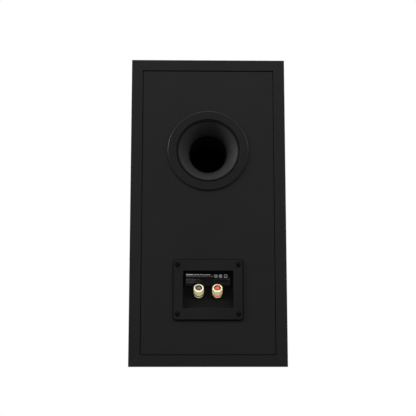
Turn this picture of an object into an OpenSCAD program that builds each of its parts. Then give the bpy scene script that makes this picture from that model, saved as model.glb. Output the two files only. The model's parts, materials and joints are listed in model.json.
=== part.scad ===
// Two-way bookshelf loudspeaker with a rear reflex port and one pair of binding posts.
// +Z is up and -Y is the front. The origin is on the bottom face, under the middle of the cabinet.
// Each driver, the port and each post is drawn along its own axis, +Z outwards, and then set in place.

/* [Cabinet] */
// Width of the cabinet
cab_w = 210; // [200:1:240]
// Height of the cabinet
cab_h = 418; // [410:1:460]
// Depth from the front of the baffle to the rear edges of the boards
cab_d = 300; // [280:1:340]
// Thickness of the four mitred boards
board_t = 15; // [12:0.5:18]
// Thickness of the front baffle
baffle_t = 18; // [18:1:25]
// Thickness of the back panel
back_t = 15; // [12:0.5:18]
// Width of the shadow groove round the back panel
groove_w = 1.2; // [1:0.1:2.5]
// Depth of that groove
groove_depth = 2; // [1:0.1:4]
// How far the back panel lies inside the rear edges of the boards
back_inset = 0.5; // [0.1:0.1:2]

/* [Drivers] */
// Height of the woofer's axis
woofer_z = 150; // [140:1:155]
// Height of the tweeter's axis
tweeter_z = 300; // [295:1:330]

/* [Port] */
// Height of the port's axis
port_z = 290.5; // [285:0.5:300]
// Radius of the port's tube
port_r = 25.5; // [22:0.5:26]
// Radius of the lip where the flare meets the flange
lip_r = 41.7; // [40:0.1:43]
// Radius of the flange
flange_r = 55.5; // [54:0.5:60]
// Depth of the flare, from its lip to the throat
flare_depth = 29; // [24:0.1:30]
// Length of the tube between its two sockets
tube_len = 72; // [60:1:90]

/* [Terminals] */
// Width of the terminal plate
plate_w = 93; // [92:1:104]
// Height of the terminal plate
plate_h = 81; // [80:1:92]
// Height of the plate's centre above the base
plate_z = 101.3; // [95:0.1:110]
// Width of the recess
recess_w = 67; // [60:0.5:70]
// Height of the recess
recess_h = 49.6; // [48:0.1:52]
// Tilt of the posts above the horizontal
post_tilt = 35; // [30:1:40]
// Distance between the two posts
post_pitch = 25; // [22:0.5:28]
// Diameter of a post's nut across its rounded corners
nut_d = 14; // [13.5:0.5:15]

/* [Hidden] */
$fn = 96;

// A gap for faces that touch, and the radial clearance of a running fit
eps = 0.01;
fit = 0.05;

// Colours
wrap_black = [0.11, 0.11, 0.11];
satin_black = [0.09, 0.09, 0.09];
soft_black = [0.04, 0.04, 0.04];
screw_black = [0.06, 0.06, 0.06];
bare_board = [0.62, 0.47, 0.31];
foam_grey = [0.2, 0.2, 0.22];
pale_gold = [0.88, 0.79, 0.52];
signal_red = [0.8, 0.1, 0.08];
signal_black = [0.06, 0.06, 0.06];
copper = [0.72, 0.4, 0.2];
steel_grey = [0.55, 0.56, 0.58];
ferrite_grey = [0.18, 0.18, 0.19];

// Cabinet
front_y = -cab_d / 2;
rear_y = cab_d / 2;
back_face_y = rear_y - back_inset;
inner_w = cab_w - 2 * board_t;
baffle_rear_y = front_y + baffle_t;
panel_front_y = back_face_y - back_t;

// Brace: a flat board with two windows
brace_t = 12;
brace_z = 228;
brace_rim = 15;
brace_rib = 16;
window_w = (inner_w - 2 * brace_rim - brace_rib) / 2;
window_y = [-100, 104];

// Damping foam
foam_t = 10;
side_foam_y = [-118, 110];
side_foam_z = [30, 216];
top_foam_x = 75;
top_foam_y = 110;

// Port, along its axis from the panel's face
flange_t = 2;
seam_w = 1.2;
seam_depth = 1.2;
lip_drop = 0.2;
lip_rim = 0.4;
port_wall = 2.4;
throat_z = flange_t - lip_drop - flare_depth;
flare_turn = 30;
flare_run = lip_r - port_r;
flare_slope = atan(flare_depth / flare_run);
flare_r = norm([flare_run, flare_depth]) / 2 / sin(flare_turn / 2);
flare_reach = flare_r * cos(flare_turn / 2);
flare_x = port_r + flare_run / 2 + flare_reach * sin(flare_slope);
flare_z = throat_z + flare_depth / 2 - flare_reach * cos(flare_slope);
flare_start = 90 + flare_slope - flare_turn / 2;
mouth_end_z = throat_z - 6.5;
socket_len = 10;
tube_wall = 2.2;
socket_r = port_r + tube_wall + 2 * fit;
tube_end_z = mouth_end_z - tube_len;
inner_mouth_r = 37;
port_hole_r = lip_r + 3.8;

// Terminal plate and its recess
gasket_t = 0.6;
gasket_edge = 0.8;
plate_t = 2;
plate_corner_r = 4;
cup_wall = 2.5;
cup_hole_play = 0.6;
lip_depth = 3.1;
lip_rise = 0.8;
plate_face_y = back_face_y + gasket_t + plate_t;
recess_bottom_z = plate_z - recess_h / 2;
recess_top_z = plate_z + recess_h / 2;
floor_y = plate_face_y - lip_depth;
floor_z = recess_bottom_z + lip_rise;
slope_h = 29.6;
crease_z = floor_z + slope_h;
label_y = floor_y - slope_h * tan(post_tilt);
label_t = 0.25;
label_margin = 1.8;
cup_hole_w = recess_w + 2 * (cup_wall + cup_hole_play);
cup_hole_h = recess_h + 2 * (cup_wall + cup_hole_play);
plate_screw_x = 40.6;
plate_screw_z = 32.7;
pilot_r = 1.65;

// Binding posts, along their own axis from the recess's sloping floor
post_rise = 18.7;
post_z = floor_z + post_rise;
post_y = floor_y - post_rise * tan(post_tilt);
stud_r = 3;
stud_tip_z = 12;
stud_tail_z = -16;
collar_r = 6.4;
collar_t = 3.2;
socket_hole_r = 2;
socket_hole_depth = 18;
wire_hole_r = 1.3;
ring_r = 6.7;
ring_t = 1;
ring_z = collar_t + fit;
nut_z = ring_z + ring_t + fit;
nut_len = 9.75;
nut_thread_len = 3;
nut_mouth_r = 4.5;
nut_flat_extra = 0.3;
cap_r = 3.2;
tag_t = 0.8;
tag_len = 13;

// Crossover
pcb_size = [120, 96];
pcb_y = 36;
pcb_t = 1.6;
standoff_h = 8;
pcb_z = board_t + standoff_h;
parts_z = pcb_z + pcb_t + eps;
pcb_hole = [pcb_size[0] / 2 - 7, pcb_size[1] / 2 - 7];

// Leads. A route's point is half the gap between the two polarities, then the pair's X, and Y and Z.
lead_r = 1.4;
input_route = [[12.5, 0, 138.8, 84.6], [12.5, 0, 130, 78], [12.5, 0, 117, 65], [10, 0, 105, 48],
    [6, 0, 94, 34], [5, 0, 86, 28], [5, 0, 80, 24.8]];
woofer_route = [[3, -30, -8, 24.8], [3, -31, -18, 28], [3, -33, -40, 34], [4, -28, -70, 44],
    [5, -14, -96, 58], [7, 0, -110, 63], [8, 0, -117.5, 70], [8, 0, -117.5, 79]];
tweeter_route = [[3, 42, -8, 24.8], [3, 48, -20, 32], [3, 60, -40, 62], [3, 64, -64, 120],
    [3, 62, -76, 190], [3, 54, -80, 236], [4, 34, -76, 270], [6, 12, -78, 294], [8, 0, -92, 300],
    [8, 0, -98, 300]];

// Woofer, along its axis from the baffle's face
basket_r = 83.5;
basket_rebate = 6;
basket_hole_r = 74;
basket_screw_r = 79.5;
flange_front_z = -0.5;
basket_windows = 6;
roll_r = 64.5;
roll_half = 5;
roll_z = -1.9;
rubber_t = 1;
cone_edge_r = 54;
cone_rim_r = 58.2;
cone_rim_z = -7.4;
cone_neck_z = -33;
cone_wall = 1.2;
cone_curve = 0.88;
former_r = 19.3;
former_wall = 0.4;
former_end_z = -68;
winding_t = 0.65;
winding_z = [-66, -52];
cap_edge_r = 24;
cap_rise = 10;
cap_wall = 1;
cap_lift = 0.4;
spider_z = -44.4;
spider_t = 0.7;
spider_wave = 1.3;
plate_front_z = -56;
plate_rear_z = plate_front_z - 6;
gap_r = 20.6;
pole_r = 18.3;
magnet_rear_z = plate_rear_z - 18;
yoke_t = 6;
vent_r = 4.5;

// Tweeter, along its axis from the baffle's face
faceplate_r = 50;
faceplate_rebate = 4.5;
faceplate_hole_r = 38;
faceplate_screw_r = 45;
hub_r = 37;
dome_r = 12.7;
dome_rise = 5.5;
dome_wall = 0.5;
dome_z = -9.9;
hub_z = -12;
small_plate_z = hub_z - 4;
small_magnet_z = small_plate_z - 10;
small_yoke_z = small_magnet_z - 5;
rear_cup_z = small_yoke_z - 19;

// ---------------------------------------------------------------- outlines

function arc(cx, cy, r, a0, a1, n) =
    [for (i = [0:n]) let (a = a0 + (a1 - a0) * i / n) [cx + r * cos(a), cy + r * sin(a)]];

function reversed(points) = [for (i = [len(points) - 1:-1:0]) points[i]];

function rounded_rectangle(w, h, r, n = 6) = concat(
    arc(w / 2 - r, h / 2 - r, r, 0, 90, n), arc(-w / 2 + r, h / 2 - r, r, 90, 180, n),
    arc(-w / 2 + r, -h / 2 + r, r, 180, 270, n), arc(w / 2 - r, -h / 2 + r, r, 270, 360, n));

// The sphere that a shallow cap of a given edge radius and rise is cut from, and the cap's half angle
function cap_sphere_r(edge_r, rise) = (edge_r * edge_r + rise * rise) / (2 * rise);
function cap_angle(edge_r, rise) = asin(edge_r / cap_sphere_r(edge_r, rise));

// ---------------------------------------------------------------- shared shapes

module tube(r_out, r_in, z0, z1)
    rotate_extrude() polygon([[r_in, z0], [r_out, z0], [r_out, z1], [r_in, z1]]);

module disc(r, z0, z1)
    translate([0, 0, z0]) cylinder(r = r, h = z1 - z0);

module block(x, y, z)
    translate([x[0], y[0], z[0]]) cube([x[1] - x[0], y[1] - y[0], z[1] - z[0]]);

module around(count, radius, start = 0)
    for (i = [0:count - 1])
        rotate([0, 0, start + i * 360 / count]) translate([radius, 0, 0]) children();

module on_woofer() translate([0, front_y, woofer_z]) rotate([90, 0, 0]) children();

module on_tweeter() translate([0, front_y, tweeter_z]) rotate([90, 0, 0]) children();

module on_port() translate([0, back_face_y, port_z]) rotate([-90, 0, 0]) children();

module on_plate(y) translate([0, y, plate_z]) rotate([90, 0, 0]) children();

module on_post(side)
    translate([side * post_pitch / 2, post_y, post_z]) rotate([post_tilt - 90, 0, 0]) children();

module at_plate_screws()
    for (x = [-plate_screw_x, plate_screw_x], z = [-plate_screw_z, plate_screw_z])
        translate([x, z, 0]) children();

module at_woofer_screws() translate([0, 0, flange_front_z]) around(6, basket_screw_r, 30) children();

module at_tweeter_screws() translate([0, 0, flange_front_z]) around(4, faceplate_screw_r, 45) children();

module at_pcb_holes()
    for (x = [-pcb_hole[0], pcb_hole[0]], y = [-pcb_hole[1], pcb_hole[1]])
        translate([x, pcb_y + y, 0]) children();

// A cross slot in a screw's head, cut down from its face
module cross_slot(reach, width, depth)
    for (a = [0, 90]) rotate([0, 0, a]) block([-reach, reach], [-width / 2, width / 2], [-depth, 1]);

// A countersunk wood screw: its head's face is at z = 0 and its tip at -len
module countersunk_screw(head_r, shank_r, head_h, len) {
    tip_r = 0.2;
    rim_h = 0.3;
    difference() {
        rotate_extrude() polygon([[0, 0], [head_r, 0], [head_r, -rim_h], [shank_r, -head_h],
            [shank_r, 1 - len], [tip_r, -len], [0, -len]]);
        cross_slot(head_r * 0.55, 0.8, 1.2);
    }
}

// The hole that such a screw's head and shank go through
module countersunk_hole(head_r, shank_r, head_h, len)
    rotate_extrude() polygon([[0, 1], [head_r, 1], [head_r, -0.35], [shank_r, -head_h],
        [shank_r, -len], [0, -len]]);

// ---------------------------------------------------------------- wires

function unit(v) = v / norm(v);

function curve_point(a, b, c, d, t) = 0.5 * ((2 * b) + (c - a) * t
    + (2 * a - 5 * b + 4 * c - d) * t * t + (3 * b - a - 3 * c + d) * t * t * t);

function smooth_path(p, n) = concat(
    [for (i = [0:len(p) - 2], k = [0:n - 1])
        curve_point(p[max(i - 1, 0)], p[i], p[i + 1], p[min(i + 2, len(p) - 1)], k / n)],
    [p[len(p) - 1]]);

// A round wire along a route, as one closed solid
module wire(route, r, sides = 8, steps = 4) {
    path = smooth_path(route, steps);
    last = len(path) - 1;
    rings = [for (i = [0:last])
        let (along = unit(path[min(i + 1, last)] - path[max(i - 1, 0)]),
            u = unit(cross(along, [0.9, 0.2, 0.1])), v = cross(along, u))
        [for (k = [0:sides - 1])
            path[i] + r * (cos(360 * k / sides) * u + sin(360 * k / sides) * v)]];
    polyhedron(
        points = [for (one = rings) each one],
        faces = concat(
            [[for (k = [sides - 1:-1:0]) k]],
            [for (i = [0:last - 1], k = [0:sides - 1])
                let (a = i * sides + k, b = i * sides + (k + 1) % sides)
                [a, b, b + sides, a + sides]],
            [[for (k = [0:sides - 1]) last * sides + k]]));
}

// One polarity's wires: posts to crossover, crossover to woofer and crossover to tweeter
module leads(side)
    for (route = [input_route, woofer_route, tweeter_route])
        wire([for (p = route) [side * p[0] + p[1], p[2], p[3]]], lead_r);

module negative_leads() color(signal_black) leads(1);

module positive_leads() color(signal_red) leads(-1);

// ---------------------------------------------------------------- cabinet

// A board with 45 degree mitred ends, its outer face down at z = 0
module mitred_board(length)
    translate([0, rear_y, 0]) rotate([90, 0, 0]) linear_extrude(cab_d - baffle_t)
        polygon([[-length / 2, 0], [length / 2, 0], [length / 2 - board_t, board_t],
            [-length / 2 + board_t, board_t]]);

module bottom_board() color(wrap_black) mitred_board(cab_w);

module top_board() color(wrap_black)
    translate([0, 0, cab_h]) mirror([0, 0, 1]) mitred_board(cab_w);

module right_board() color(wrap_black)
    translate([cab_w / 2, 0, cab_h / 2]) rotate([0, -90, 0]) mitred_board(cab_h);

module left_board() color(wrap_black)
    translate([-cab_w / 2, 0, cab_h / 2]) rotate([0, 90, 0]) mitred_board(cab_h);

module front_baffle() color(wrap_black) difference() {
    block([-cab_w / 2, cab_w / 2], [front_y, baffle_rear_y], [0, cab_h]);
    on_woofer() {
        disc(basket_hole_r, -baffle_t - 1, 1);
        disc(basket_r + 0.5, -basket_rebate, 1);
        at_woofer_screws() disc(1.95, -16.5, 0);
    }
    on_tweeter() {
        disc(faceplate_hole_r, -baffle_t - 1, 1);
        disc(faceplate_r + 0.4, -faceplate_rebate, 1);
        at_tweeter_screws() disc(pilot_r, -16.5, 0);
    }
}

// The panel fills the frame behind a groove, and stands clear of the boards beside the groove
module back_panel() color(wrap_black) difference() {
    union() {
        block([-inner_w / 2, inner_w / 2], [panel_front_y, back_face_y - groove_depth],
            [board_t, cab_h - board_t]);
        block([-inner_w / 2 + groove_w, inner_w / 2 - groove_w], [panel_front_y, back_face_y],
            [board_t + groove_w, cab_h - board_t - groove_w]);
    }
    on_port() disc(port_hole_r, -back_t - 1, 1);
    block([-cup_hole_w / 2, cup_hole_w / 2], [panel_front_y - 1, back_face_y + 1],
        [plate_z - cup_hole_h / 2, plate_z + cup_hole_h / 2]);
    on_plate(back_face_y) at_plate_screws() disc(pilot_r, -1, 13);
}

module window_brace() color(bare_board) difference() {
    block([-inner_w / 2, inner_w / 2], [baffle_rear_y, panel_front_y], [brace_z, brace_z + brace_t]);
    for (side = [-1, 1])
        translate([side * (brace_rib + window_w) / 2, 0, 0])
            block([-window_w / 2, window_w / 2], window_y, [brace_z - 1, brace_z + brace_t + 1]);
}

module side_foam(side) color(foam_grey)
    translate([side * (inner_w - foam_t) / 2, 0, 0])
        block([-foam_t / 2 + fit, foam_t / 2 - fit], side_foam_y, side_foam_z);

module left_foam() side_foam(-1);

module right_foam() side_foam(1);

module top_foam() color(foam_grey)
    block([-top_foam_x, top_foam_x], [-top_foam_y, top_foam_y],
        [cab_h - board_t - foam_t, cab_h - board_t - fit]);

// ---------------------------------------------------------------- port

// The flare's line from lip to throat; an offset moves it outwards, into the wall
function flare_line(offset, n) =
    arc(flare_x, flare_z, flare_r - offset, flare_start, flare_start + flare_turn, n);

// Flange with a rounded edge and a ring-shaped seam, flare, throat and the tube's socket
module port_mouth() color(satin_black) on_port() rotate_extrude() polygon(concat(
    [[lip_r + 2, 0], [flange_r - 0.6, 0], [flange_r, 0.5]],
    arc(flange_r - 1, flange_t - 1, 1, 0, 90, 4),
    [[lip_r + lip_rim + seam_w, flange_t], [lip_r + lip_rim + seam_w, flange_t - seam_depth],
        [lip_r + lip_rim, flange_t - seam_depth], [lip_r + lip_rim, flange_t - lip_drop]],
    flare_line(0, 10),
    [[port_r, mouth_end_z], [socket_r, mouth_end_z], [socket_r, mouth_end_z - socket_len],
        [socket_r + port_wall, mouth_end_z - socket_len], [socket_r + port_wall, throat_z - 3]],
    reversed(flare_line(port_wall, 6))));

module port_tube() color(soft_black) on_port()
    tube(port_r + tube_wall, port_r, tube_end_z, mouth_end_z);

module port_inner_flare() color(satin_black) on_port() rotate_extrude() polygon(concat(
    [[socket_r, tube_end_z + socket_len], [socket_r, tube_end_z], [port_r, tube_end_z]],
    arc(inner_mouth_r, tube_end_z - 4, inner_mouth_r - port_r, 180, 270, 8),
    reversed(arc(inner_mouth_r, tube_end_z - 4, inner_mouth_r - port_r - port_wall, 180, 270, 6)),
    [[socket_r + port_wall, tube_end_z - 2], [socket_r + port_wall, tube_end_z + socket_len]]));

// ---------------------------------------------------------------- terminal plate

module plate_outline(inset = 0)
    polygon(rounded_rectangle(plate_w - 2 * inset, plate_h - 2 * inset, plate_corner_r - inset));

// Draws a side view in Y and Z, and extrudes it to a width in X about the middle
module across(width)
    translate([-width / 2, 0, 0]) rotate([90, 0, 90]) linear_extrude(width) children();

// Side view of the recess: a short lip, a floor that slopes up and in, and an upright label wall
module recess_side() polygon([
    [plate_face_y + 1, recess_bottom_z - 0.2], [floor_y, floor_z], [label_y, crease_z],
    [label_y, recess_top_z - 0.8], [plate_face_y + 1, recess_top_z]]);

// Side view of the cup's outside: the same, one wall further out
module cup_side() {
    slope_wall = cup_wall / cos(post_tilt);
    plate_back_y = back_face_y + gasket_t + eps;
    polygon([
        [plate_back_y, recess_bottom_z - cup_wall],
        [floor_y - slope_wall + (lip_rise + cup_wall) * tan(post_tilt), recess_bottom_z - cup_wall],
        [label_y - cup_wall, crease_z - (slope_wall - cup_wall) / tan(post_tilt)],
        [label_y - cup_wall, recess_top_z + cup_wall],
        [plate_back_y, recess_top_z + cup_wall]]);
}

module terminal_gasket() color(soft_black) on_plate(back_face_y) difference() {
    translate([0, 0, -gasket_t]) linear_extrude(gasket_t) plate_outline(-gasket_edge);
    block([-cup_hole_w / 2, cup_hole_w / 2], [-cup_hole_h / 2, cup_hole_h / 2], [-gasket_t - 1, 1]);
    at_plate_screws() disc(1.7, -gasket_t - 1, 1);
}

module terminal_cup() color(satin_black) difference() {
    union() {
        on_plate(plate_face_y) linear_extrude(plate_t) plate_outline();
        across(recess_w + 2 * cup_wall) cup_side();
    }
    across(recess_w) recess_side();
    on_plate(plate_face_y) at_plate_screws() {
        disc(3.6, -1, 1.4);
        disc(1.7, -1, plate_t + 1);
    }
    for (side = [-1, 1]) on_post(side) disc(stud_r + fit, -20, 20);
}

module rating_label() color([0.02, 0.02, 0.02])
    block([-recess_w / 2 + 2.5, recess_w / 2 - 2.5], [label_y, label_y + label_t],
        [crease_z + 1, recess_top_z - label_margin]);

module terminal_screws() color(screw_black)
    on_plate(plate_face_y) at_plate_screws() difference() {
        union() {
            rotate_extrude() polygon([[0, 1.4], [3.2, 1.4], [3.2, 0.8], [2.4, 0.15], [0, 0]]);
            disc(1.6, 1.3, plate_t + gasket_t + 11.5);
        }
        rotate([180, 0, 20]) cross_slot(1.8, 0.7, 1);
    }

// ---------------------------------------------------------------- binding posts

// Brass stud: base collar, shank, a 4 mm plug socket down its middle and a cross hole for bare wire
module stud(side) color(pale_gold) on_post(side) difference() {
    union() {
        rotate_extrude() polygon([[0, fit], [collar_r - 0.3, fit], [collar_r, 0.4],
            [collar_r, collar_t - 0.5], [collar_r - 0.3, collar_t], [0, collar_t]]);
        disc(stud_r, stud_tail_z, stud_tip_z);
    }
    disc(socket_hole_r, stud_tip_z - socket_hole_depth, stud_tip_z + 1);
    translate([0, 0, collar_t + wire_hole_r + 0.4]) rotate([0, 90, 0])
        cylinder(r = wire_hole_r, h = 10, center = true);
}

// Clamp ring that travels with the nut but need not turn with it
module clamp_ring(side, tint) color(tint) on_post(side)
    rotate_extrude() polygon([[stud_r + fit, ring_z], [ring_r - 0.2, ring_z], [ring_r, ring_z + 0.2],
        [ring_r, ring_z + ring_t - 0.2], [ring_r - 0.2, ring_z + ring_t], [stud_r + fit, ring_z + ring_t]]);

// Nut: eight flats with rounded ends, a short thread in its base and a wide mouth round the stud's tip
module post_nut(side) color(pale_gold) on_post(side) difference() {
    intersection() {
        translate([0, 0, nut_z]) rotate([0, 0, 22.5])
            cylinder(r = nut_d / 2 + nut_flat_extra, h = nut_len, $fn = 8);
        rotate_extrude() polygon([[0, nut_z], [nut_d / 2 - 0.8, nut_z], [nut_d / 2, nut_z + 0.8],
            [nut_d / 2, nut_z + nut_len - 1], [nut_d / 2 - 1, nut_z + nut_len], [0, nut_z + nut_len]]);
    }
    disc(stud_r + fit, nut_z - 1, nut_z + nut_len);
    disc(nut_mouth_r, nut_z + nut_thread_len, nut_z + nut_len + 1);
}

// Pull-out cap that fills a post's plug socket: a peg and a button head
module socket_cap(side, tint) color(tint) on_post(side)
    rotate_extrude() polygon([[0, -1], [socket_hole_r - 0.4, -1], [socket_hole_r - fit, 0],
        [socket_hole_r - fit, stud_tip_z + fit], [cap_r - 0.2, stud_tip_z + fit],
        [cap_r, stud_tip_z + 0.3], [cap_r, stud_tip_z + 1], [cap_r - 0.5, stud_tip_z + 1.4],
        [0, stud_tip_z + 1.5]]);

module negative_stud() stud(1);

module positive_stud() stud(-1);

module negative_ring() clamp_ring(1, signal_black);

module positive_ring() clamp_ring(-1, signal_red);

module negative_nut() post_nut(1);

module positive_nut() post_nut(-1);

module negative_cap() socket_cap(1, signal_black);

module positive_cap() socket_cap(-1, signal_red);

module post_fixing_nuts() color(pale_gold)
    for (side = [-1, 1]) on_post(side) difference() {
        translate([0, 0, -cup_wall - tag_t - 5]) cylinder(r = 5.6, h = 5, $fn = 6);
        disc(stud_r + fit, -20, 0);
    }

module solder_tags() color([0.8, 0.8, 0.78])
    for (side = [-1, 1]) on_post(side) difference() {
        union() {
            disc(5, -cup_wall - tag_t + eps, -cup_wall - eps);
            block([-2, 2], [0, tag_len], [-cup_wall - tag_t + eps, -cup_wall - eps]);
        }
        disc(stud_r + fit, -20, 0);
        translate([0, tag_len - 2, 0]) disc(0.9, -10, 0);
    }

// ---------------------------------------------------------------- crossover

module crossover_board() color([0.1, 0.3, 0.16]) difference() {
    translate([0, pcb_y, 0])
        block([-pcb_size[0] / 2, pcb_size[0] / 2], [-pcb_size[1] / 2, pcb_size[1] / 2],
            [pcb_z + eps, pcb_z + pcb_t]);
    at_pcb_holes() disc(1.7, 0, pcb_z + 5);
}

module crossover_standoffs() color([0.85, 0.85, 0.8])
    at_pcb_holes() tube(4, pilot_r, board_t + eps, pcb_z);

module crossover_screws() color([0.75, 0.75, 0.75]) at_pcb_holes()
    rotate_extrude() polygon([[0, board_t + 1], [1.6, board_t + 1], [1.6, parts_z], [3, parts_z],
        [3, parts_z + 1.2], [2, parts_z + 2], [0, parts_z + 2]]);

// An air-core coil: a winding between two flanges, round a hollow core
module bobbin_coil(r_out, r_in, height) {
    cheek = 1.5;
    rotate_extrude() polygon([[r_in, 0], [r_out, 0], [r_out, cheek], [r_out - cheek, cheek],
        [r_out - cheek, height - cheek], [r_out, height - cheek], [r_out, height], [r_in, height]]);
}

module woofer_inductor() color(copper) translate([-32, 56, parts_z]) bobbin_coil(23, 9, 24);

module tweeter_inductor() color(copper) translate([20, 62, parts_z]) bobbin_coil(16, 6, 16);

module capacitor(x, y, r, length)
    translate([x, y, parts_z + r]) rotate([0, 90, 0])
        rotate_extrude() polygon([[0, 0], [r - 1, 0], [r, 1], [r, length - 1], [r - 1, length],
            [0, length]]);

module capacitors() color([0.75, 0.62, 0.2]) {
    capacitor(-48, 18, 9, 36);
    capacitor(-48, -1, 7, 30);
    capacitor(2, 0, 8, 34);
}

module resistors() color([0.9, 0.9, 0.86])
    for (x = [8, 26]) block([x, x + 10], [14, 40], [parts_z, parts_z + 8.5]);

// ---------------------------------------------------------------- woofer

// Pressed basket: flange, a cone of struts between windows, a spider ledge and a seat for the magnet
module woofer_basket() color(satin_black) on_woofer() difference() {
    union() {
        rotate_extrude() polygon([[68.5, -3], [75.5, -3], [75.5, flange_front_z],
            [basket_r, flange_front_z], [basket_r, -5], [73, -5], [51.5, -50], [51.5, plate_front_z],
            [24, plate_front_z], [24, -52.5], [45, -52.5], [45, -45.5], [48.5, -45.5], [68.5, -6]]);
        block([-6, 6], [-65.5, -57], [-38, -27]);
    }
    for (i = [0:basket_windows - 1])
        rotate([0, 0, 360 * i / basket_windows]) translate([40, 0, 0]) rotate([90, 0, 90])
            linear_extrude(45) polygon([[-17, -43], [17, -43], [27, -13], [-27, -13]]);
    at_woofer_screws() countersunk_hole(3.6, 2.3, 2.3, 8);
}

module woofer_gasket() color(soft_black) on_woofer() difference() {
    tube(basket_r - 0.3, basket_hole_r + 0.5, -basket_rebate + eps, -5 - eps);
    at_woofer_screws() disc(2.2, -8, 0);
}

module woofer_screws() color(screw_black) on_woofer()
    at_woofer_screws() countersunk_screw(3.5, 1.9, 2.3, 16);

// Snap-on ring that hides the basket's flange and screws
module woofer_trim_ring() color(wrap_black) on_woofer()
    rotate_extrude() polygon([[71.2, -1.7], [75.2, -1.7], [75.2, -0.4], [84, -0.4], [84, eps],
        [87, eps], [87, 0.8], [86.4, 1.6], [85.4, 2], [74, 2], [72, 1.6], [71.2, 0.8]]);

// Rubber half roll, with a flange on the basket outside it and a foot over the cone's rim inside it
module woofer_surround() color(soft_black) on_woofer() {
    outer = roll_half + rubber_t / 2;
    inner = roll_half - rubber_t / 2;
    foot_z = cone_rim_z + 0.2;
    rotate_extrude() polygon(concat(
        [[75, -3 + eps], [75, roll_z]],
        arc(roll_r, roll_z, outer, 0, 180, 12),
        [[roll_r - outer - 1.4, foot_z + rubber_t], [cone_edge_r, foot_z + rubber_t],
            [cone_edge_r, foot_z], [cone_rim_r + 0.4, foot_z]],
        arc(roll_r, roll_z, inner, 180, 0, 10),
        [[roll_r + inner, -3 + eps]]));
}

// Depth of the cone's front at a radius, and the line from its rim to its neck: a shallow curve
function cone_depth(r) = cone_rim_z
    + (cone_neck_z - cone_rim_z) * pow((cone_edge_r - r) / (cone_edge_r - former_r), cone_curve);

function cone_line(drop, n) =
    [for (i = [0:n]) let (r = cone_edge_r + (former_r - cone_edge_r) * i / n) [r, cone_depth(r) - drop]];

module woofer_cone() color(wrap_black) on_woofer()
    rotate_extrude() polygon(concat(
        [[cone_rim_r, cone_rim_z - cone_wall], [cone_rim_r, cone_rim_z]],
        cone_line(0, 10),
        [[former_r, cone_neck_z - 3], [former_r + 0.8, cone_neck_z - 3]],
        [for (p = reversed(cone_line(cone_wall, 10))) [p[0] + 0.6, p[1]]]));

module woofer_dust_cap() color(wrap_black) on_woofer() {
    sphere_r = cap_sphere_r(cap_edge_r, cap_rise);
    angle = 90 - cap_angle(cap_edge_r, cap_rise);
    centre_z = cone_depth(cap_edge_r) + cap_lift + cap_rise - sphere_r;
    rotate_extrude() polygon(concat(
        arc(0, centre_z, sphere_r, angle, 90, 10),
        reversed(arc(0, centre_z, sphere_r - cap_wall, angle + 1, 90, 9)),
        [[cap_edge_r - cap_wall, cone_depth(cap_edge_r - cap_wall) + 0.03],
            [cap_edge_r, cone_depth(cap_edge_r) + 0.03]]));
}

module woofer_voice_coil() color(copper) on_woofer() {
    tube(former_r, former_r - former_wall, former_end_z, cone_neck_z - 1);
    tube(former_r + winding_t, former_r + eps, winding_z[0], winding_z[1]);
}

function spider_line(lift, n) = [for (i = [0:n]) let (t = i / n)
    [former_r + 0.3 + 25 * t, spider_z + lift + spider_wave * sin(360 * 4 * t)]];

module woofer_spider() color([0.75, 0.6, 0.3]) on_woofer()
    rotate_extrude() polygon(concat(
        spider_line(spider_t, 24),
        [[48.2, -44.6], [48.2, -45.5 + eps], [45, -45.5 + eps]],
        reversed(spider_line(0, 24))));

module woofer_top_plate() color(steel_grey) on_woofer()
    tube(48, gap_r, plate_rear_z, plate_front_z - eps);

module woofer_magnet() color(ferrite_grey) on_woofer()
    tube(50, 25, magnet_rear_z, plate_rear_z - eps);

// Back plate and vented pole in one piece
module woofer_yoke() color(steel_grey) on_woofer() {
    front_z = magnet_rear_z - eps;
    rear_z = front_z - yoke_t;
    rotate_extrude() polygon([[vent_r, rear_z], [47, rear_z], [48, rear_z + 1], [48, front_z],
        [pole_r, front_z], [pole_r, plate_front_z - 0.5], [pole_r - 0.8, plate_front_z + 0.3],
        [vent_r, plate_front_z + 0.3]]);
}

module woofer_terminals() color([0.5, 0.32, 0.16]) on_woofer() {
    block([-12, 12], [-67.5, -65.5 - eps], [-38, -27]);
    for (x = [-8, 8]) block([x - 1.6, x + 1.6], [-73.5, -67.5 - eps], [-32.9, -32.1]);
}

// ---------------------------------------------------------------- tweeter

// Front of the waveguide, from the flange in to the diaphragm
function guide_line(n) =
    [for (i = [0:n]) let (t = i / n) [40 - 23 * t, flange_front_z - 7.7 * pow(t, 1.8)]];

module tweeter_faceplate() color(satin_black) on_tweeter() difference() {
    rotate_extrude() polygon(concat(
        [[hub_r, -faceplate_rebate], [faceplate_r, -faceplate_rebate], [faceplate_r, flange_front_z]],
        guide_line(10),
        [[16.6, -9.6], [20.2, -9.6], [20.2, hub_z], [hub_r, hub_z]]));
    at_tweeter_screws() countersunk_hole(3.2, 1.9, 2, 8);
}

module tweeter_screws() color(screw_black) on_tweeter()
    at_tweeter_screws() countersunk_screw(3.1, 1.6, 2, 16);

module tweeter_trim_ring() color(wrap_black) on_tweeter()
    rotate_extrude() polygon([[40.6, -0.4], [50.4, -0.4], [50.4, eps], [52.5, eps], [52.5, 0.7],
        [52, 1.3], [51.2, 1.6], [42.4, 1.6], [41.4, 1.3], [40.6, 0.6]]);

// Dome, with its coil former and winding below
module tweeter_dome() color(soft_black) on_tweeter() {
    sphere_r = cap_sphere_r(dome_r, dome_rise);
    angle = 90 - cap_angle(dome_r, dome_rise);
    centre_z = dome_z + dome_rise - sphere_r;
    rotate_extrude() polygon(concat(
        arc(0, centre_z, sphere_r, angle, 90, 10),
        reversed(arc(0, centre_z, sphere_r - dome_wall, angle, 90, 10)),
        [[12.2, -10.2], [12.2, -17.5], [12.6, -17.5], [12.6, -16.2], [13, -16.2], [13, -11.8],
            [12.6, -11.8], [12.6, -10.2]]));
}

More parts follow.
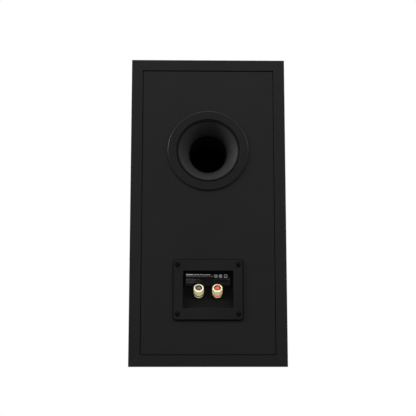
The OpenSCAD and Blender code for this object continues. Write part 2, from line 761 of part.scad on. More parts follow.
module tweeter_surround() color(soft_black) on_tweeter()
    rotate_extrude() polygon(concat(
        [[20, -10.1], [20, -9.65]],
        arc(14.45, -10.1, 1.35, 18, 180, 8),
        arc(14.45, -10.1, 0.95, 180, 0, 6)));

module tweeter_top_plate() color(steel_grey) on_tweeter()
    rotate_extrude() polygon([[13.6, small_plate_z], [hub_r, small_plate_z], [hub_r, hub_z - eps],
        [20.1, hub_z - eps], [20.1, -10.15], [16.2, -10.15], [16.2, hub_z - eps], [13.6, hub_z - eps]]);

module tweeter_magnet() color(ferrite_grey) on_tweeter()
    tube(36, 16, small_magnet_z, small_plate_z - eps);

module tweeter_yoke() color(steel_grey) on_tweeter()
    rotate_extrude() polygon([[3, small_yoke_z], [35, small_yoke_z], [35, small_magnet_z - eps],
        [11.6, small_magnet_z - eps], [11.6, hub_z - 0.4], [11, hub_z + 0.2], [3, hub_z + 0.2]]);

module tweeter_rear_cup() color(satin_black) on_tweeter()
    rotate_extrude() polygon([[0, rear_cup_z], [33, rear_cup_z], [35, rear_cup_z + 2],
        [35, small_yoke_z - eps], [32.5, small_yoke_z - eps], [32.5, rear_cup_z + 2.5],
        [0, rear_cup_z + 2.5]]);

module tweeter_terminals() color([0.8, 0.8, 0.78]) on_tweeter()
    for (x = [-8, 8]) block([x - 1.6, x + 1.6], [-0.4, 0.4], [rear_cup_z - 6, rear_cup_z - eps]);

// ---------------------------------------------------------------- nodes

left_board();
right_board();
top_board();
bottom_board();
front_baffle();
back_panel();
window_brace();
left_foam();
right_foam();
top_foam();
port_mouth();
port_tube();
port_inner_flare();
terminal_gasket();
terminal_cup();
rating_label();
terminal_screws();
negative_stud();
positive_stud();
negative_ring();
positive_ring();
negative_nut();
positive_nut();
negative_cap();
positive_cap();
post_fixing_nuts();
solder_tags();
crossover_board();
crossover_standoffs();
crossover_screws();
woofer_inductor();
tweeter_inductor();
capacitors();
resistors();
negative_leads();
positive_leads();
woofer_basket();
woofer_gasket();
woofer_trim_ring();
woofer_screws();
woofer_surround();
woofer_cone();
woofer_dust_cap();
woofer_voice_coil();
woofer_spider();
woofer_top_plate();
woofer_magnet();
woofer_yoke();
woofer_terminals();
tweeter_faceplate();
tweeter_trim_ring();
tweeter_screws();
tweeter_dome();
tweeter_surround();
tweeter_top_plate();
tweeter_magnet();
tweeter_yoke();
tweeter_rear_cup();
tweeter_terminals();
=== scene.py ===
import json
import math

import bmesh
import bpy
import numpy as np
from mathutils import Matrix, Vector

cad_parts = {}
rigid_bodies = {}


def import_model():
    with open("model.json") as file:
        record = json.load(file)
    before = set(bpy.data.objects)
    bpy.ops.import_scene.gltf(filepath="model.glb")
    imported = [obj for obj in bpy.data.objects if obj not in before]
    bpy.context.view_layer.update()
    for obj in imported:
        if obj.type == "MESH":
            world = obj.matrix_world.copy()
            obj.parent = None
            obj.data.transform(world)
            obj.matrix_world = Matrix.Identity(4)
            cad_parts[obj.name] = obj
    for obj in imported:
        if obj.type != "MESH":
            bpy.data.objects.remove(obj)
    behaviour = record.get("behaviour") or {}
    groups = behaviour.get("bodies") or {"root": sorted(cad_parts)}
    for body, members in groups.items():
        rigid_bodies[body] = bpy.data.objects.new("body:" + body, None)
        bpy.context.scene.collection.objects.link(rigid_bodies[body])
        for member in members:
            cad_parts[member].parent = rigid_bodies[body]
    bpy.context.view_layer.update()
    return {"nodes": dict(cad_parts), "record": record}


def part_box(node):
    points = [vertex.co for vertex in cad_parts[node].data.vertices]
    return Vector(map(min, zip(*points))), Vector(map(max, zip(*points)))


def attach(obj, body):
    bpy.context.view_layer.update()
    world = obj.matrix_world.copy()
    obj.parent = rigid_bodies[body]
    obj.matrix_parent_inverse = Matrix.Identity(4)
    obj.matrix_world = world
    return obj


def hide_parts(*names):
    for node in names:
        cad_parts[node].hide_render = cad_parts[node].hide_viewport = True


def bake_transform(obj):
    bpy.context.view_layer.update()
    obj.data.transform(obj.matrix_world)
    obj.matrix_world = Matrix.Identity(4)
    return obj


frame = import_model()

MM = 0.001

# ------------ places, all from the frame

RECORD = frame["record"]


def low(node):
    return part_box(node)[0]


def high(node):
    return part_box(node)[1]


def centre(node):
    return (low(node) + high(node)) / 2


FRONT_Y = low("front_baffle").y
PANEL_Y = high("back_panel").y
PLATE_Y = high("terminal_cup").y
LIP_R, LIP_RIM, SEAM_W = 41.7, 0.4, 1.2
BORE_R = next(m for m in RECORD["mounts"] if m["name"] == "port_bore")["dims"]["r_mm"]
# Colour factor inside the port's flare: painted light, paler where light reaches into the flare.
FLARE_PAINTED_LIGHT = 3.8
WOOFER = Matrix.Translation((0, FRONT_Y, centre("woofer_magnet").z)) @ Matrix.Rotation(math.pi / 2, 4, "X")
TWEETER = Matrix.Translation((0, FRONT_Y, centre("tweeter_magnet").z)) @ Matrix.Rotation(math.pi / 2, 4, "X")
PORT = Matrix.Translation((0, PANEL_Y, centre("port_tube").z)) @ Matrix.Rotation(-math.pi / 2, 4, "X")


def post_place(name):
    """Frame of a binding post: its origin on the recess's floor and +Z out along the post."""
    mount = next(m for m in RECORD["mounts"] if m["name"] == name)
    axis = Vector(mount["axis"])
    tip_height = 12 * MM
    tilt = math.atan2(axis.z, axis.y)
    return (Matrix.Translation(Vector(mount["pos_m"]) - tip_height * axis)
            @ Matrix.Rotation(tilt - math.pi / 2, 4, "X"))


def linked(name, data):
    """A new object in the scene."""
    obj = bpy.data.objects.new(name, data)
    bpy.context.scene.collection.objects.link(obj)
    return obj


# ------------ camera

camera_data = bpy.data.cameras.new("camera")
camera_data.lens = 80
camera_data.sensor_width = 36
camera_data.clip_end = 50
camera = linked("camera", camera_data)
camera.location = (0.0206, 1.3805, 0.0167)
yaw, pitch = math.radians(-0.95), math.radians(8.98)
look = Vector((math.sin(yaw) * math.cos(pitch), -math.cos(yaw) * math.cos(pitch), math.sin(pitch)))
camera.rotation_euler = look.to_track_quat("-Z", "Y").to_euler()
bpy.context.scene.camera = camera

# ------------ outlines, in millimetres


def arc(cx, cy, r, start, end, steps):
    """Points on an arc, its angles in degrees."""
    angles = [math.radians(start + (end - start) * i / steps) for i in range(steps + 1)]
    return [(cx + r * math.cos(a), cy + r * math.sin(a)) for a in angles]


def softened(points, radius, steps=3, closed=True):
    """The outline with each corner sharper than 25 degrees cut back and rounded."""
    out = []
    n = len(points)
    for i, p in enumerate(points):
        if not closed and i in (0, n - 1):
            out.append(p)
            continue
        here = Vector(p)
        before, after = Vector(points[i - 1]) - here, Vector(points[(i + 1) % n]) - here
        turn = math.pi - before.angle(after, math.pi)
        on_axis = abs(p[0]) < 1e-6
        if turn < math.radians(25) or on_axis:
            out.append(p)
            continue
        cut = min(radius, before.length * 0.45, after.length * 0.45)
        a, b = here + before.normalized() * cut, here + after.normalized() * cut
        for k in range(steps + 1):
            t = k / steps
            q = a * (1 - t) ** 2 + here * 2 * t * (1 - t) + b * t * t
            out.append((q.x, q.y))
    return out


# ------------ meshes


def piece(name, mesh, body, material, replaced=()):
    """Puts a mesh into the scene, riding on a body; a piece given no body rides on none."""
    obj = linked(name, mesh)
    mesh.materials.append(material)
    if replaced:
        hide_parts(*replaced)
    if body:
        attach(obj, body)
        even_shading(obj)
    return obj


def even_shading(obj):
    even = obj.modifiers.new("even_shading", "WEIGHTED_NORMAL")
    even.keep_sharp = True


def finished(name, bm, sharp=32):
    """A mesh from bmesh, with even normals and creases where faces turn by more than sharp degrees."""
    bmesh.ops.recalc_face_normals(bm, faces=bm.faces)
    mesh = bpy.data.meshes.new(name)
    bm.to_mesh(mesh)
    bm.free()
    mesh.shade_smooth()
    mesh.set_sharp_from_angle(angle=math.radians(sharp))
    return mesh


def rings_into(bm, rings, closed_profile):
    """Joins rings of points with faces, and the last to the first if asked. One point makes a pole."""
    made = [[bm.verts.new(p) for p in ring] for ring in rings]
    pairs = list(zip(made, made[1:]))
    if closed_profile:
        pairs.append((made[-1], made[0]))
    for a, b in pairs:
        count = max(len(a), len(b))
        for k in range(count):
            corners = [a[k % len(a)], a[(k + 1) % len(a)], b[(k + 1) % len(b)], b[k % len(b)]]
            unique = list(dict.fromkeys(corners))
            if len(unique) > 2:
                bm.faces.new(unique)


def shaped_ring(place, h, radius_at, segments):
    """Points round the local Z axis at a height, their radius worked out from each angle."""
    angles = [2 * math.pi * k / segments for k in range(segments)]
    return [place @ Vector((radius_at(a) * math.cos(a) * MM, radius_at(a) * math.sin(a) * MM, h * MM))
            for a in angles]


def lathe_into(bm, outline, place, segments=128, closed=True):
    """Turns an outline of (radius, height) round the local Z axis."""
    rings = []
    for r, h in outline:
        if abs(r) < 1e-6:
            rings.append([place @ Vector((0, 0, h * MM))])
            continue
        rings.append([
            place @ Vector((r * MM * math.cos(a), r * MM * math.sin(a), h * MM))
            for a in (2 * math.pi * k / segments for k in range(segments))
        ])
    on_axis = len(rings[0]) == 1 and len(rings[-1]) == 1
    rings_into(bm, rings, closed and not on_axis)


def lathe(name, outline, place, segments=128, closed=True, sharp=32):
    bm = bmesh.new()
    lathe_into(bm, outline, place, segments, closed)
    return finished(name, bm, sharp)


def turned(name, outline, place, body, material, slot, node=None, segments=128, closed=True, sharp=32):
    """A lathed piece that rides on a body and, if a CAD node is named, takes its place."""
    mesh = lathe(name, outline, place, segments, closed, sharp)
    return piece(name, mesh, body, material, [node] if node else ())


def box_into(bm, lo, hi):
    """A box between two corners given in millimetres."""
    made = bmesh.ops.create_cube(bm, size=1)
    size = [(h - l) * MM for l, h in zip(lo, hi)]
    middle = [(h + l) / 2 * MM for l, h in zip(lo, hi)]
    bmesh.ops.scale(bm, vec=size, verts=made["verts"])
    bmesh.ops.translate(bm, vec=middle, verts=made["verts"])


def bevelled(obj, width, segments=2, angle=30):
    """Rounds a piece's edges with a modifier."""
    weld = obj.modifiers.new("weld", "WELD")
    weld.merge_threshold = 0.000002
    flat = obj.modifiers.new("flat", "DECIMATE")
    flat.decimate_type = "DISSOLVE"
    flat.angle_limit = math.radians(0.5)
    bevel = obj.modifiers.new("bevel", "BEVEL")
    bevel.width = width * MM
    bevel.segments = segments
    bevel.limit_method = "ANGLE"
    bevel.angle_limit = math.radians(angle)
    bevel.harden_normals = True


def tube_mesh(name, routes, radius, sides=14):
    """Round wires along smooth routes, whose points are in millimetres."""
    bm = bmesh.new()
    for route in routes:
        pts = smooth_route([Vector(p) * MM for p in route], 10)
        rings = []
        side = Vector((0.9, 0.2, 0.1))
        for i, p in enumerate(pts):
            along = (pts[min(i + 1, len(pts) - 1)] - pts[max(i - 1, 0)]).normalized()
            u = (side - along * side.dot(along)).normalized()
            v = along.cross(u)
            side = u
            rings.append([p + radius * MM * (math.cos(t) * u + math.sin(t) * v)
                          for t in (2 * math.pi * k / sides for k in range(sides))])
        rings_into(bm, [[pts[0]]] + rings + [[pts[-1]]], False)
    return finished(name, bm, 60)


def smooth_route(p, n):
    """A Catmull-Rom curve through the points, n steps to a stretch."""
    out = []
    for i in range(len(p) - 1):
        a, b, c, d = p[max(i - 1, 0)], p[i], p[i + 1], p[min(i + 2, len(p) - 1)]
        for k in range(n):
            t = k / n
            out.append(0.5 * (2 * b + (c - a) * t + (2 * a - 5 * b + 4 * c - d) * t * t
                              + (3 * b - a - 3 * c + d) * t ** 3))
    return out + [p[-1]]


def radial_blend(obj, place, r_out, r_in):
    """Bakes a ring-shaped piece's place into its mesh and works out, for each point, its share from the
    outer edge to the inner; nothing uses the share, so the piece follows no body.
    """
    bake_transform(obj)
    back = place.inverted()
    for v in obj.data.vertices:
        local = back @ v.co
        t = (r_out * MM - math.hypot(local.x, local.y)) / ((r_out - r_in) * MM)
        t = min(max(t, 0), 1)


# ------------ materials


class Shader:
    """A Principled material, with short calls for the textures that drive it."""

    def __init__(self, name, roughness=0.5, metallic=0.0, specular=0.5, **sockets):
        self.material = bpy.data.materials.new(name)
        self.material.use_nodes = True
        self.tree = self.material.node_tree
        self.bsdf = self.tree.nodes["Principled BSDF"]
        self.bsdf.inputs["Roughness"].default_value = roughness
        self.bsdf.inputs["Metallic"].default_value = metallic
        self.bsdf.inputs["Specular IOR Level"].default_value = specular
        for key, value in sockets.items():
            self.bsdf.inputs[key.replace("_", " ")].default_value = value
        self.coords = self.tree.nodes.new("ShaderNodeTexCoord").outputs["Object"]

    def feed(self, socket, value):
        """Links a socket to another, or sets it to a plain value."""
        if isinstance(value, bpy.types.NodeSocket):
            self.tree.links.new(value, socket)
        else:
            socket.default_value = value

    def node(self, kind, inputs, **settings):
        made = self.tree.nodes.new("ShaderNode" + kind)
        for key, value in settings.items():
            setattr(made, key, value)
        for key, value in inputs.items():
            self.feed(made.inputs[key], value)
        return made

    def mapped(self, **inputs):
        """Object coordinates, scaled or moved."""
        return self.node("Mapping", {"Vector": self.coords, **inputs}).outputs["Vector"]

    def noise(self, scale, detail=3.0, roughness=0.5, vector=None):
        inputs = {"Scale": scale, "Detail": detail, "Roughness": roughness, "Vector": vector or self.coords}
        return self.node("TexNoise", inputs).outputs["Fac"]

    def wave(self, scale, distortion=0.0, vector=None, **settings):
        inputs = {"Scale": scale, "Distortion": distortion, "Vector": vector or self.coords}
        return self.node("TexWave", inputs, **settings).outputs["Fac"]

    def cells(self, scale, feature="F1"):
        inputs = {"Scale": scale, "Vector": self.coords}
        return self.node("TexVoronoi", inputs, feature=feature).outputs["Distance"]

    def ramp(self, value, *stops):
        """Maps a value to colours (or greys) given as (position, colour)."""
        made = self.node("ValToRGB", {"Fac": value})
        elements = made.color_ramp.elements
        while len(elements) < len(stops):
            elements.new(0.5)
        for element, (position, colour) in zip(elements, stops):
            element.position = position
            grey = isinstance(colour, (int, float))
            element.color = (colour, colour, colour, 1) if grey else (*colour, 1)
        return made.outputs["Color"]

    def shades(self, value, colour, low_end, high_end, start=0.3, end=0.7):
        """The colour, from one tint to another as the value rises."""
        return self.ramp(value, (start, tinted(colour, low_end)), (end, tinted(colour, high_end)))

    def axes(self):
        """The X, Y and Z of the object coordinates."""
        return self.node("SeparateXYZ", {"Vector": self.coords}).outputs

    def maths(self, operation, *values):
        return self.node("Math", dict(enumerate(values)), operation=operation).outputs["Value"]

    def fade(self, value, start_mm, end_mm):
        """Runs from 0 to 1 as a length in metres goes from one place to the other, given in millimetres."""
        inputs = {"Value": value, "From Min": start_mm * MM, "From Max": end_mm * MM}
        return self.node("MapRange", inputs).outputs["Result"]

    def mixed(self, factor, a, b):
        made = self.node("Mix", {"Factor": factor}, data_type="RGBA")
        colours = [socket for socket in made.inputs if socket.type == "RGBA"]
        for socket, value in zip(colours, (a, b)):
            self.feed(socket, (*value, 1) if isinstance(value, tuple) else value)
        return next(s for s in made.outputs if s.type == "RGBA")

    def colour(self, value):
        self.feed(self.bsdf.inputs["Base Color"], (*value, 1) if isinstance(value, tuple) else value)

    def sheen(self, value):
        self.feed(self.bsdf.inputs["Roughness"], value)

    def rough(self, value, low_end, high_end):
        self.sheen(self.ramp(value, (0.25, low_end), (0.75, high_end)))

    def bump(self, value, strength, depth_mm, below=None):
        inputs = {"Height": value, "Strength": strength, "Distance": depth_mm * MM}
        if below is not None:
            inputs["Normal"] = below
        normal = self.node("Bump", inputs).outputs["Normal"]
        self.feed(self.bsdf.inputs["Normal"], normal)
        return normal


def tinted(colour, by):
    return tuple(min(1.0, c * by) for c in colour)


def mitre_painted_highlight(s):
    """Marks a painted highlight along the mitres, on the boards' rear edges only."""
    x, y, z = s.axes()
    right, top, rear = high("right_board").x, high("top_board").z, high("right_board").y
    from_side = s.maths("SUBTRACT", right, s.maths("ABSOLUTE", x))
    off_centre = s.maths("ABSOLUTE", s.maths("SUBTRACT", z, top / 2))
    off_mitre = s.maths("SUBTRACT", s.maths("SUBTRACT", top / 2, off_centre), from_side)
    along_mitre = s.fade(s.maths("ABSOLUTE", off_mitre), 0.8, 0.4)
    return s.maths("MULTIPLY", along_mitre, s.fade(y, rear / MM - 0.4, rear / MM - 0.2))


def vinyl(name, colour, roughness):
    """Satin wrap: a fine pebbled grain, a slow, faint change in tone and sheen, and a painted highlight
    along the mitres.
    """
    s = Shader(name, roughness, specular=0.12)
    cloud = s.noise(9, 4)
    speck = s.noise(1400, 2, 0.6)
    grainy = s.mixed(0.25, s.shades(cloud, colour, 0.9, 1.1), s.shades(speck, colour, 0.6, 1.5, 0.35, 0.65))
    # Painted highlight: a paler line along the mitre joints, where they catch the light.
    s.colour(s.mixed(mitre_painted_highlight(s), grainy, tinted(colour, 1.7)))
    s.rough(s.noise(40, 5), roughness - 0.02, roughness + 0.03)
    grain = s.bump(s.cells(2200), 0.25, 0.03)
    s.bump(s.noise(260, 3), 0.06, 0.05, below=grain)
    return s.material


def moulded(name, colour, roughness, grain=0.25, specular=0.4):
    """Injection-moulded plastic with a fine spark texture."""
    s = Shader(name, roughness, specular=specular)
    s.colour(s.shades(s.noise(30, 4), colour, 0.88, 1.12))
    s.rough(s.noise(300, 4), roughness - 0.05, roughness + 0.06)
    s.bump(s.noise(3200, 2, 0.7), grain, 0.03)
    return s.material


def port_plastic(name, colour, roughness):
    """Satin plastic with painted light inside the flare (a paler copy of its colour) and painted shade in
    the seam round its lip.
    """
    s = Shader(name, roughness, specular=0.16)
    flat = s.mapped(Scale=(1, 0, 1), Location=(0, 0, -PORT.translation.z))
    radius = s.node("VectorMath", {0: flat}, operation="LENGTH").outputs["Value"]
    before_flange = s.maths("LESS_THAN", radius, (LIP_R + LIP_RIM + SEAM_W) * MM)
    # Painted shade: the band over the seam round the lip is darkened, as shade in the groove; its roughness
    # is raised too.
    seam = s.maths("MULTIPLY", before_flange, s.fade(radius, LIP_R - 2.4, LIP_R - 0.9))
    # Painted light: the flare's wall, from the throat to the lip, takes a paler copy of the colour.
    in_flare = s.maths("MULTIPLY", s.fade(radius, BORE_R + 0.1, BORE_R + 1.2),
                       s.maths("LESS_THAN", radius, LIP_R * MM))
    cloud = s.noise(30, 4)
    outside = s.shades(cloud, colour, 0.88, 1.12)
    inside = s.shades(cloud, colour, 0.88 * FLARE_PAINTED_LIGHT, 1.12 * FLARE_PAINTED_LIGHT)
    s.colour(s.mixed(seam, s.mixed(in_flare, outside, inside), tinted(colour, 0.3)))
    even = s.maths("MULTIPLY_ADD", seam, 0.45, roughness - 0.05)
    s.sheen(s.maths("MULTIPLY_ADD", s.noise(300, 4), 0.1, even))
    s.bump(s.noise(3200, 2, 0.7), 0.2, 0.03)
    return s.material


def plate_plastic(name, face, inside):
    """Spark-textured on the plate's face, smooth inside its recess. The recess and the plate's edge chamfers
    take a far darker colour, painted shade, darkest by the recess's lip and lighter deeper in.
    """
    s = Shader(name, 0.45, specular=0.08)
    depth = s.axes()["Y"]
    # outer is 1 on the plate's face only; below it the edges and the recess take the painted shade.
    outer = s.fade(depth, PLATE_Y / MM - 0.25, PLATE_Y / MM - 0.08)
    deep = s.fade(depth, PLATE_Y / MM - 6, PLATE_Y / MM - 20)
    cloud = s.noise(30, 4)
    # Painted shade in the recess, darkest by the lip and lightening deeper in.
    recess = s.mixed(deep, inside, tinted(inside, 3))
    cloudy_recess = s.mixed(s.ramp(cloud, (0.3, 0), (0.7, 0.15)), recess, tinted(inside, 0.8))
    s.colour(s.mixed(outer, cloudy_recess, s.shades(cloud, face, 0.9, 1.14)))
    even = s.maths("SUBTRACT", 0.75, s.maths("MULTIPLY", outer, 0.3))
    s.sheen(s.maths("MULTIPLY_ADD", s.noise(300, 4), 0.12, even))
    s.bump(s.noise(3200, 2, 0.7), 0.2, 0.03)
    return s.material


def polished(name, colour, roughness, specular=0.5, coat=0.0):
    """Smooth moulded plastic with faint handling marks."""
    s = Shader(name, roughness, specular=specular, Coat_Weight=coat, Coat_Roughness=0.12)
    s.colour(s.shades(s.noise(180, 3), colour, 0.93, 1.07))
    s.rough(s.noise(700, 5), roughness * 0.8, roughness * 1.4)
    s.bump(s.noise(900, 3), 0.05, 0.02)
    return s.material


def plated(name, colour, roughness, turned=True, metallic=1.0):
    """Plated metal: fine turning marks, and a little uneven tarnish."""
    s = Shader(name, roughness, metallic=metallic)
    s.colour(s.shades(s.noise(260, 4), colour, 0.86, 1.06, 0.25, 0.75))
    s.rough(s.noise(1100, 4), roughness * 0.75, roughness * 1.4)
    marks = s.noise(9000, 2) if turned else s.noise(1500, 4)
    s.bump(marks, 0.08, 0.01)
    return s.material


def coated_metal(name, colour, roughness=0.45, specular=0.45):
    s = Shader(name, roughness, specular=specular)
    s.colour(s.shades(s.noise(500, 4), colour, 0.8, 1.25))
    s.rough(s.noise(900, 3), roughness - 0.08, roughness + 0.1)
    s.bump(s.noise(2600, 2), 0.15, 0.02)
    return s.material


def rubber(name, colour, roughness=0.62):
    s = Shader(name, roughness, specular=0.35, Sheen_Weight=0.08, Sheen_Roughness=0.4)
    s.colour(s.shades(s.noise(60, 5), colour, 0.85, 1.2))
    s.rough(s.noise(220, 4), roughness - 0.07, roughness + 0.08)
    s.bump(s.noise(2400, 3), 0.12, 0.03)
    return s.material


def coated_paper(name, colour, place):
    """Pressed paper under a black coat: long fibres, and faint pressing rings round the driver's axis."""
    s = Shader(name, 0.55, specular=0.32)
    fibres = s.noise(700, 6, 0.65)
    s.colour(s.shades(fibres, colour, 0.7, 1.35, 0.35, 0.65))
    s.rough(s.noise(160, 5), 0.5, 0.56)
    rings = s.wave(90, 0.3, s.mapped(Location=-place.translation), wave_type="RINGS",
                   rings_direction="SPHERICAL")
    pressed = s.bump(rings, 0.12, 0.06)
    s.bump(fibres, 0.35, 0.05, below=pressed)
    return s.material


def woven(name, colour, threads_per_mm=2.2, roughness=0.8, sheen=0.2):
    """Plain weave from two crossed sets of threads."""
    s = Shader(name, roughness, specular=0.25, Sheen_Weight=sheen, Sheen_Roughness=0.5)
    across, along = [s.wave(threads_per_mm * 160, 0.5, wave_type="BANDS", bands_direction=d) for d in "XZ"]
    cloth = s.maths("MULTIPLY", across, along)
    s.colour(s.mixed(0.5, s.shades(cloth, colour, 0.6, 1.4, 0.1, 0.9),
                     s.shades(s.noise(90, 4), colour, 0.8, 1.2)))
    s.bump(cloth, 0.4, 0.05)
    return s.material


def open_foam(name, colour):
    s = Shader(name, 0.95, specular=0.15)
    pores = s.cells(420)
    s.colour(s.shades(pores, colour, 1.3, 0.45, 0.05, 0.6))
    s.bump(pores, 0.8, 0.6)
    return s.material


def fibreboard(name, colour):
    s = Shader(name, 0.85, specular=0.2)
    fibres = s.noise(120, 8, 0.7, s.mapped(Scale=(1, 3, 8)))
    s.colour(s.shades(fibres, colour, 0.7, 1.25))
    s.bump(fibres, 0.3, 0.15)
    return s.material


def winding(name, colour):
    """Enamelled wire, wound in close turns along Z."""
    s = Shader(name, 0.25, metallic=0.9)
    turns = s.wave(330, wave_type="BANDS", bands_direction="Z")
    s.colour(s.shades(turns, colour, 0.35, 1, 0.05, 0.6))
    s.bump(turns, 0.6, 0.2)
    return s.material


def laminate(name, colour):
    """Circuit board: woven glass showing through green lacquer, with wide tracks."""
    s = Shader(name, 0.35, specular=0.5)
    tracks = s.ramp(s.cells(60, feature="DISTANCE_TO_EDGE"), (0.06, 0), (0.1, 1))
    s.colour(s.mixed(tracks, tinted(colour, 0.55), tinted(colour, 1.3)))
    s.rough(s.noise(400, 3), 0.28, 0.45)
    s.bump(tracks, 0.3, 0.04)
    return s.material


BLACK_WRAP = vinyl("black_vinyl_wrap", (0.0095, 0.0095, 0.0097), 0.5)
PANEL_WRAP = vinyl("charcoal_panel_wrap", (0.0095, 0.0095, 0.0097), 0.5)
PORT_PLASTIC = port_plastic("port_satin_plastic", (0.0068, 0.0068, 0.007), 0.4)
# The second colour is painted shade for the recess and the plate's edges.
PLATE_PLASTIC = plate_plastic("terminal_plate_plastic", (0.0094, 0.0094, 0.0096), (0.0026, 0.0026, 0.0027))
LABEL_FILM = polished("label_black_film", (0.007, 0.007, 0.007), 0.42, specular=0.2)
INK = polished("label_grey_ink", (0.36, 0.36, 0.365), 0.6, specular=0.2)
GREY_INK = polished("label_middle_ink", (0.13, 0.13, 0.133), 0.6, specular=0.1)
FAINT_INK = polished("label_faint_ink", (0.075, 0.075, 0.077), 0.6, specular=0.1)
GOLD = plated("pale_gold_plating", (0.58, 0.535, 0.31), 0.4, metallic=0.4)
RED = polished("red_plastic", (0.64, 0.045, 0.036), 0.42, specular=0.35)
RED_RING = polished("red_ring_plastic", (0.55, 0.03, 0.012), 0.5, specular=0.15)
BLACK_RING = polished("black_ring_plastic", (0.004, 0.004, 0.004), 0.5, specular=0.1)
# Near-black ring in each nut's mouth: painted shade of the gap round the cap.
SHADE_LINER = moulded("painted_shade_liner", (0.003, 0.0025, 0.002), 0.7, 0.2, 0.05)
BLACK_CAP = polished("black_plastic", (0.03, 0.028, 0.034), 0.28, coat=0.3)
SCREW_BLACK = coated_metal("black_zinc", (0.0025, 0.0025, 0.0025), 0.5, 0.08)
SOFT_FOAM = moulded("gasket_foam", (0.008, 0.008, 0.008), 0.9, 0.5, 0.05)
TRIM = moulded("trim_satin_plastic", (0.014, 0.014, 0.0145), 0.36, 0.15)
GUIDE = moulded("waveguide_plastic", (0.011, 0.011, 0.011), 0.38, 0.15)
SURROUND = rubber("surround_rubber", (0.009, 0.009, 0.0092), 0.5)
CONE = coated_paper("coated_paper_cone", (0.016, 0.016, 0.0165), WOOFER)
DOME = woven("doped_dome_fabric", (0.012, 0.012, 0.013), 3.0, 0.5, 0.1)
SPIDER = woven("spider_cloth", (0.42, 0.26, 0.08), 1.2, 0.75, 0.1)
BASKET = coated_metal("basket_powder_coat", (0.012, 0.012, 0.012), 0.4)
STEEL = plated("zinc_plated_steel", (0.5, 0.5, 0.52), 0.35, turned=False)
TINNED = plated("tinned_brass", (0.72, 0.71, 0.68), 0.3, turned=False)
FERRITE = coated_metal("ferrite", (0.045, 0.045, 0.048), 0.6)
COPPER = winding("enamelled_copper", (0.62, 0.24, 0.09))
FOAM = open_foam("damping_foam", (0.09, 0.09, 0.1))
BOARD = fibreboard("bare_fibreboard", (0.36, 0.24, 0.13))
LAMINATE = laminate("green_laminate", (0.02, 0.13, 0.05))
NYLON = moulded("natural_nylon", (0.62, 0.6, 0.54), 0.45, 0.1)
FILM_WRAP = polished("capacitor_film", (0.5, 0.33, 0.04), 0.3)
CERAMIC = moulded("resistor_ceramic", (0.7, 0.69, 0.64), 0.75, 0.4, 0.2)
CARD = woven("black_card_tube", (0.008, 0.008, 0.008), 0.6, 0.8, 0.0)
FIBRE = fibreboard("terminal_fibre", (0.2, 0.1, 0.04))
BLACK_WIRE = rubber("black_insulation", (0.01, 0.01, 0.01), 0.4)
RED_WIRE = rubber("red_insulation", (0.45, 0.02, 0.015), 0.4)

# ------------ cabinet


def finish_cad(node, material, width=0.0, segments=2):
    """A CAD node stays as it is, with a better material and, if asked, softened edges."""
    obj = frame["nodes"][node]
    obj.data.materials.clear()
    obj.data.materials.append(material)
    if width:
        bevelled(obj, width, segments)


def finish_all(*rows):
    for row in rows:
        finish_cad(*row)


finish_all(
    ("left_board", BLACK_WRAP, 0.35), ("right_board", BLACK_WRAP, 0.35), ("top_board", BLACK_WRAP, 0.35),
    ("bottom_board", BLACK_WRAP, 0.35), ("front_baffle", BLACK_WRAP, 0.8, 3),
    ("back_panel", PANEL_WRAP, 0.4), ("window_brace", BOARD, 0.5),
    ("left_foam", FOAM, 1.5, 3), ("right_foam", FOAM, 1.5, 3), ("top_foam", FOAM, 1.5, 3))

# ------------ port

FLANGE_T = 2
FLANGE_R = (high("port_mouth").x - low("port_mouth").x) / 2 / MM
FLARE_DEPTH, FLARE_TURN = 29, 30
LIP_DROP, SEAM_DEPTH = 0.2, 1.2
THROAT = FLANGE_T - LIP_DROP - FLARE_DEPTH
PORT_WALL, TUBE_WALL, SOCKET_LEN = 2.4, 2.2, 10
SOCKET_R = BORE_R + TUBE_WALL + 0.1


def flare_line(offset, steps):
    """The flare's gentle curve from its lip to the throat; an offset moves it into the wall."""
    chord_angle = math.degrees(math.atan2(FLARE_DEPTH, LIP_R - BORE_R))
    chord = math.hypot(FLARE_DEPTH, LIP_R - BORE_R)
    r = chord / 2 / math.sin(math.radians(FLARE_TURN / 2))
    reach = r * math.cos(math.radians(FLARE_TURN / 2))
    cx = (LIP_R + BORE_R) / 2 + reach * math.sin(math.radians(chord_angle))
    cy = THROAT + FLARE_DEPTH / 2 - reach * math.cos(math.radians(chord_angle))
    middle = 90 + chord_angle
    return arc(cx, cy, r - offset, middle - FLARE_TURN / 2, middle + FLARE_TURN / 2, steps)


def port_mouth():
    seam_in, seam_out, seam_floor = LIP_R + LIP_RIM, LIP_R + LIP_RIM + SEAM_W, FLANGE_T - SEAM_DEPTH
    edge_r, end = 1.9, THROAT - 6.5
    face = ([(LIP_R + 2, 0), (FLANGE_R, 0)] + arc(FLANGE_R - edge_r, FLANGE_T - edge_r, edge_r, 0, 90, 12)
            + [(seam_out + 0.25, FLANGE_T), (seam_out, FLANGE_T - 0.25), (seam_out, seam_floor),
               (seam_in, seam_floor), (seam_in, FLANGE_T - 0.45)])
    outline = (face + flare_line(0, 28)
               + [(BORE_R, end), (SOCKET_R, end), (SOCKET_R, end - SOCKET_LEN),
                  (SOCKET_R + PORT_WALL, end - SOCKET_LEN), (SOCKET_R + PORT_WALL, THROAT - 3)]
               + flare_line(PORT_WALL, 10)[::-1])
    turned("port_mouth_flare", outline, PORT, "shell", PORT_PLASTIC, "port_plastic", "port_mouth", 192)


def port_tube():
    near = (high("port_tube").y - PANEL_Y) / MM
    far = (low("port_tube").y - PANEL_Y) / MM
    outer = BORE_R + TUBE_WALL
    outline = softened([(BORE_R, far), (outer, far), (outer, near), (BORE_R, near)], 0.3)
    turned("port_card_tube", outline, PORT, "shell", CARD, "port_card", "port_tube")


